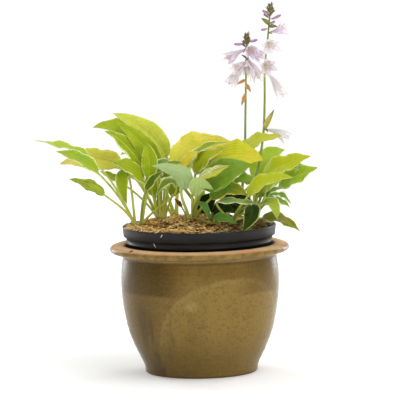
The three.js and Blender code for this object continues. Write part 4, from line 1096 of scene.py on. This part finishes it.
def flower(stem, height, mouth, radius, lift, throat, kind):
    """A funnel of six petals with the pale bottom of its tube, its stamens and its pistil."""
    root = stem_at(stem, height)
    mouth = np.asarray(mouth, float)
    start = root + unit(mouth - root) * (PEDICEL + PEDICEL_GAP)
    middle = start / 2 + mouth / 2 + np.array([0, 0, lift])
    coat = petal_paints[kind]
    widths = [0.14, 0.19, 0.26, (0.26 + throat) / 2 - 0.01, throat, 0.5 + throat / 2, 1.0]

    def axis_at(s):
        """Points on the flower's axis, and the three directions there."""
        place, heading = bowed(start, middle, mouth, np.clip(s, 0, 1))
        side = unit(np.cross(heading, np.array([0.3, 0.2, 1.0])))
        return place, heading[:, None], side[:, None], np.cross(heading, side)[:, None]

    parts = []
    s = np.linspace(0, 1, PETAL_ROWS + 1)
    across = np.linspace(-1, 1, PETAL_COLUMNS + 1)[None, :]
    widest = 0.62 if throat < 0.5 else 0.5
    narrow = np.maximum(1 - np.clip((s - widest) / (1 - widest), 0, 1) ** 2.4, 0.05)
    _, heading, side, up = axis_at(s)
    for k in range(PETALS):
        # Every second petal lies a little outside its neighbours
        outer = k % 2
        wide = np.interp(s, FLOWER_ALONG, widths) * radius
        wide = wide * (1 - 0.10 * (np.clip(s - 0.85, 0, 1) / 0.15) ** 2 * (k % 3 == 1))
        wide = np.maximum(wide, 1.0)[:, None] + 0.35 * outer
        slip = 0.396 * np.clip(s - 0.8, 0, 1) ** 2 * (1 + 0.4 * math.sin(2.1 * k + height))
        angle = 2 * math.pi * k / PETALS + across * (math.radians(31 + 2 * outer) * narrow)[:, None]
        cup = wide * (1 - 0.16 * (1 - across ** 2) * np.clip(s - 0.55, 0, 1)[:, None])
        frill = 0.75 * np.clip(s - 0.7, 0, 1)[:, None] * np.sin(5 * across + 2 * k) * np.abs(across)
        points = axis_at(s - slip)[0][:, None] + side * (np.cos(angle) * cup)[..., None]
        points = points + up * (np.sin(angle) * cup)[..., None] + heading * frill[..., None]
        parts.append(closed_sheet(points, coat, PETAL_THICKNESS))
    base = np.linspace(0.03, 0.3, 8)
    base_radii = (np.interp(base, FLOWER_ALONG, widths) * radius - 0.5) * np.linspace(1, 0.3, 8)
    parts.append(tube(axis_at(base)[0], np.maximum(base_radii, 0.4), coat, 10, inner=1.0))
    # The longer pistil comes last. All bend up at their ends
    for k in range(STAMENS + 1):
        pistil = k == STAMENS
        turn = k * GOLDEN_ANGLE
        q = np.linspace(0.35, 1.12 if pistil else 0.9 + 0.05 * (k % 3), 9)
        place, heading, side, up = axis_at(q)
        off = (0 if pistil else radius) * (0.12 + 0.16 * q / q[-1])[:, None]
        beyond = np.clip(q - 1, 0, 1)[:, None] * np.linalg.norm(mouth - start)
        line = place + heading[:, 0] * beyond
        line += (side[:, 0] * math.cos(turn) + up[:, 0] * math.sin(turn)) * off
        line[:, 2] += 1.1 * np.clip(q - 0.6, 0, 1) ** 2 * radius
        parts.append(tube(line, FILAMENT_RADIUS, filament_coat, 5))
        if not pistil:
            lie = unit(side[-1] + 0.3 * up[-1])
            path = line[-1] + lie * np.array([-1.5, -0.8, 0, 0.8, 1.5])[:, None]
            parts.append(tube(path, [0.2, 0.5, 0.6, 0.5, 0.2], anther_coat, 6, heading[-1, 0]))
    return parts


# Buds and bracts: the height where each leaves its stem, its tip, its width and its coat
BUDS = {
    "left": [(489, (57, 22, 488), 4.6, lilac_bud), (491, (93, 22, 494), 4.6, lilac_bud)],
    "right": [(527, (101, 30, 538), 4.6, lilac_bud), (523, (129, 32, 530), 4.8, lilac_bud),
              (517, (119, 24, 521), 4.6, lilac_bud), (510, (98, 30, 508), 4.2, lilac_bud)],
}
BRACTS = {
    "left": [(464, (68, 12, 472), 7, green_bract), (465, (83, 12, 474), 6, green_bract),
             (459, (77, 10, 453), 6.5, green_bract), (433, (61, 15, 428), 6, dry_bract),
             (427, (81, 21, 416), 6, dry_bract), (413, (67, 21, 396), 6, dry_bract)],
    "right": [(356, (116, 32, 388), 9, yellow_bract), (512, (123, 32, 512), 7, green_bract),
              (515, (99, 33, 525), 8, green_bract)],
}
BRACT_TIP = 0.5
BRACT_THICKNESS = 0.5


def ribbed(turn):
    return 1 - 0.08 * np.cos(3 * turn) ** 2


def bud(root, tip, width, coat):
    root, tip = np.asarray(root, float), np.asarray(tip, float)
    t = np.linspace(0, 1, 12)
    path = root + (tip - root) * t[:, None]
    path[:, 2] -= np.sin(np.pi * t) * 0.05 * np.linalg.norm(tip - root)
    shape = 0.22 + 0.78 * np.sin(np.pi * np.clip(t * 1.02 - 0.14, 0, 1)) ** 0.8
    shape[0] = 0.2
    shape[-1] = 0.08
    return tube(path, shape * width / 2, coat, 12, (0, 0.3, 1), ribbed)


def bract(root, tip, width, coat, face=(0, -0.8, 0.6), fold=25, cup=0.0):
    root, tip, face = (np.asarray(p, float) for p in (root, tip, face))
    along = np.linspace(0, 1, 13)
    across = np.linspace(-1, 1, 9)[None, :]
    points, tangent = midrib_at(root, (root + tip) / 2 + face * cup, tip, along)
    side = unit(np.cross(tangent, face))
    normal = np.cross(side, tangent)
    half = half_width(width, along, BRACT_TIP)[:, None]
    out = np.abs(across)
    lift = half * math.sin(math.radians(fold)) * (out + 0.5 * out ** 2)
    lift += 0.2 * np.sin(9 * along)[:, None] * out
    grid = points[:, None] + side[:, None] * (across * half)[..., None] + normal[:, None] * lift[..., None]
    return closed_sheet(grid, coat, BRACT_THICKNESS)


CROWN_BUDS = 13
CROWN_STEP = 1.25
CROWN_SPREAD = {"left": 0.42, "right": 0.6}


def crown_of_buds(stem):
    """The close buds at a scape's top, each in its bract, turned by the golden angle from one to the next."""
    top = SCAPES[stem][-1][2]
    parts = []
    for k in range(CROWN_BUDS):
        turn = k * GOLDEN_ANGLE
        root = stem_at(stem, top - CROWN_STEP * k)
        out = np.array([*around(1, turn), 0])
        reach = 2.4 + CROWN_SPREAD[stem] * k
        parts.append(bud(root, root + out * reach + (0, 0, 9.4 - 0.22 * k), 2.3 + 0.1 * k, dark_bud))
        bract_tip = root + out * (reach + 2.4) + (0, 0, 7.4 - 0.15 * k)
        parts.append(bract(root, bract_tip, 3.1, green_bract, (0, 0, 0.4) - out, 30, -0.6))
    return parts


STEM_RADII = (2.6, 1.2)
STEM_SIDES = 12
for stem, line in stem_lines.items():
    parts = [tube(line, np.linspace(*STEM_RADII, len(line)), stem_coat, STEM_SIDES, (0, 1, 0))]
    for name, height, mouth, radius, lift, throat, kind in FLOWERS[stem]:
        root = stem_at(stem, height)
        way = unit(np.asarray(mouth, float) - root)
        t = np.linspace(0, 1, 6)
        pedicel_coat = lilac_bud if kind == "lilac" else stem_coat
        parts.append(tube(root + way * (PEDICEL + 1.5) * t[:, None], 0.9 + 0.35 * t ** 3, pedicel_coat, 8))
        bract_tip = root + way * PEDICEL - (0, 0, 3.5)
        parts.append(bract(root - (0, 0, 1), bract_tip, 5, green_bract, (0, 0, 0.8) - way, 30))
        make_piece("bloom_" + name, flower(stem, height, mouth, radius, lift, throat, kind), "petal",
                   "flower_" + name)
    parts += [bud(stem_at(stem, height), tip, width, coat) for height, tip, width, coat in BUDS[stem]]
    parts += [bract(stem_at(stem, height), tip, width, coat) for height, tip, width, coat in BRACTS[stem]]
    make_piece("stem_" + stem, parts + crown_of_buds(stem), "scape", "scape_" + stem)

bpy.context.view_layer.update()
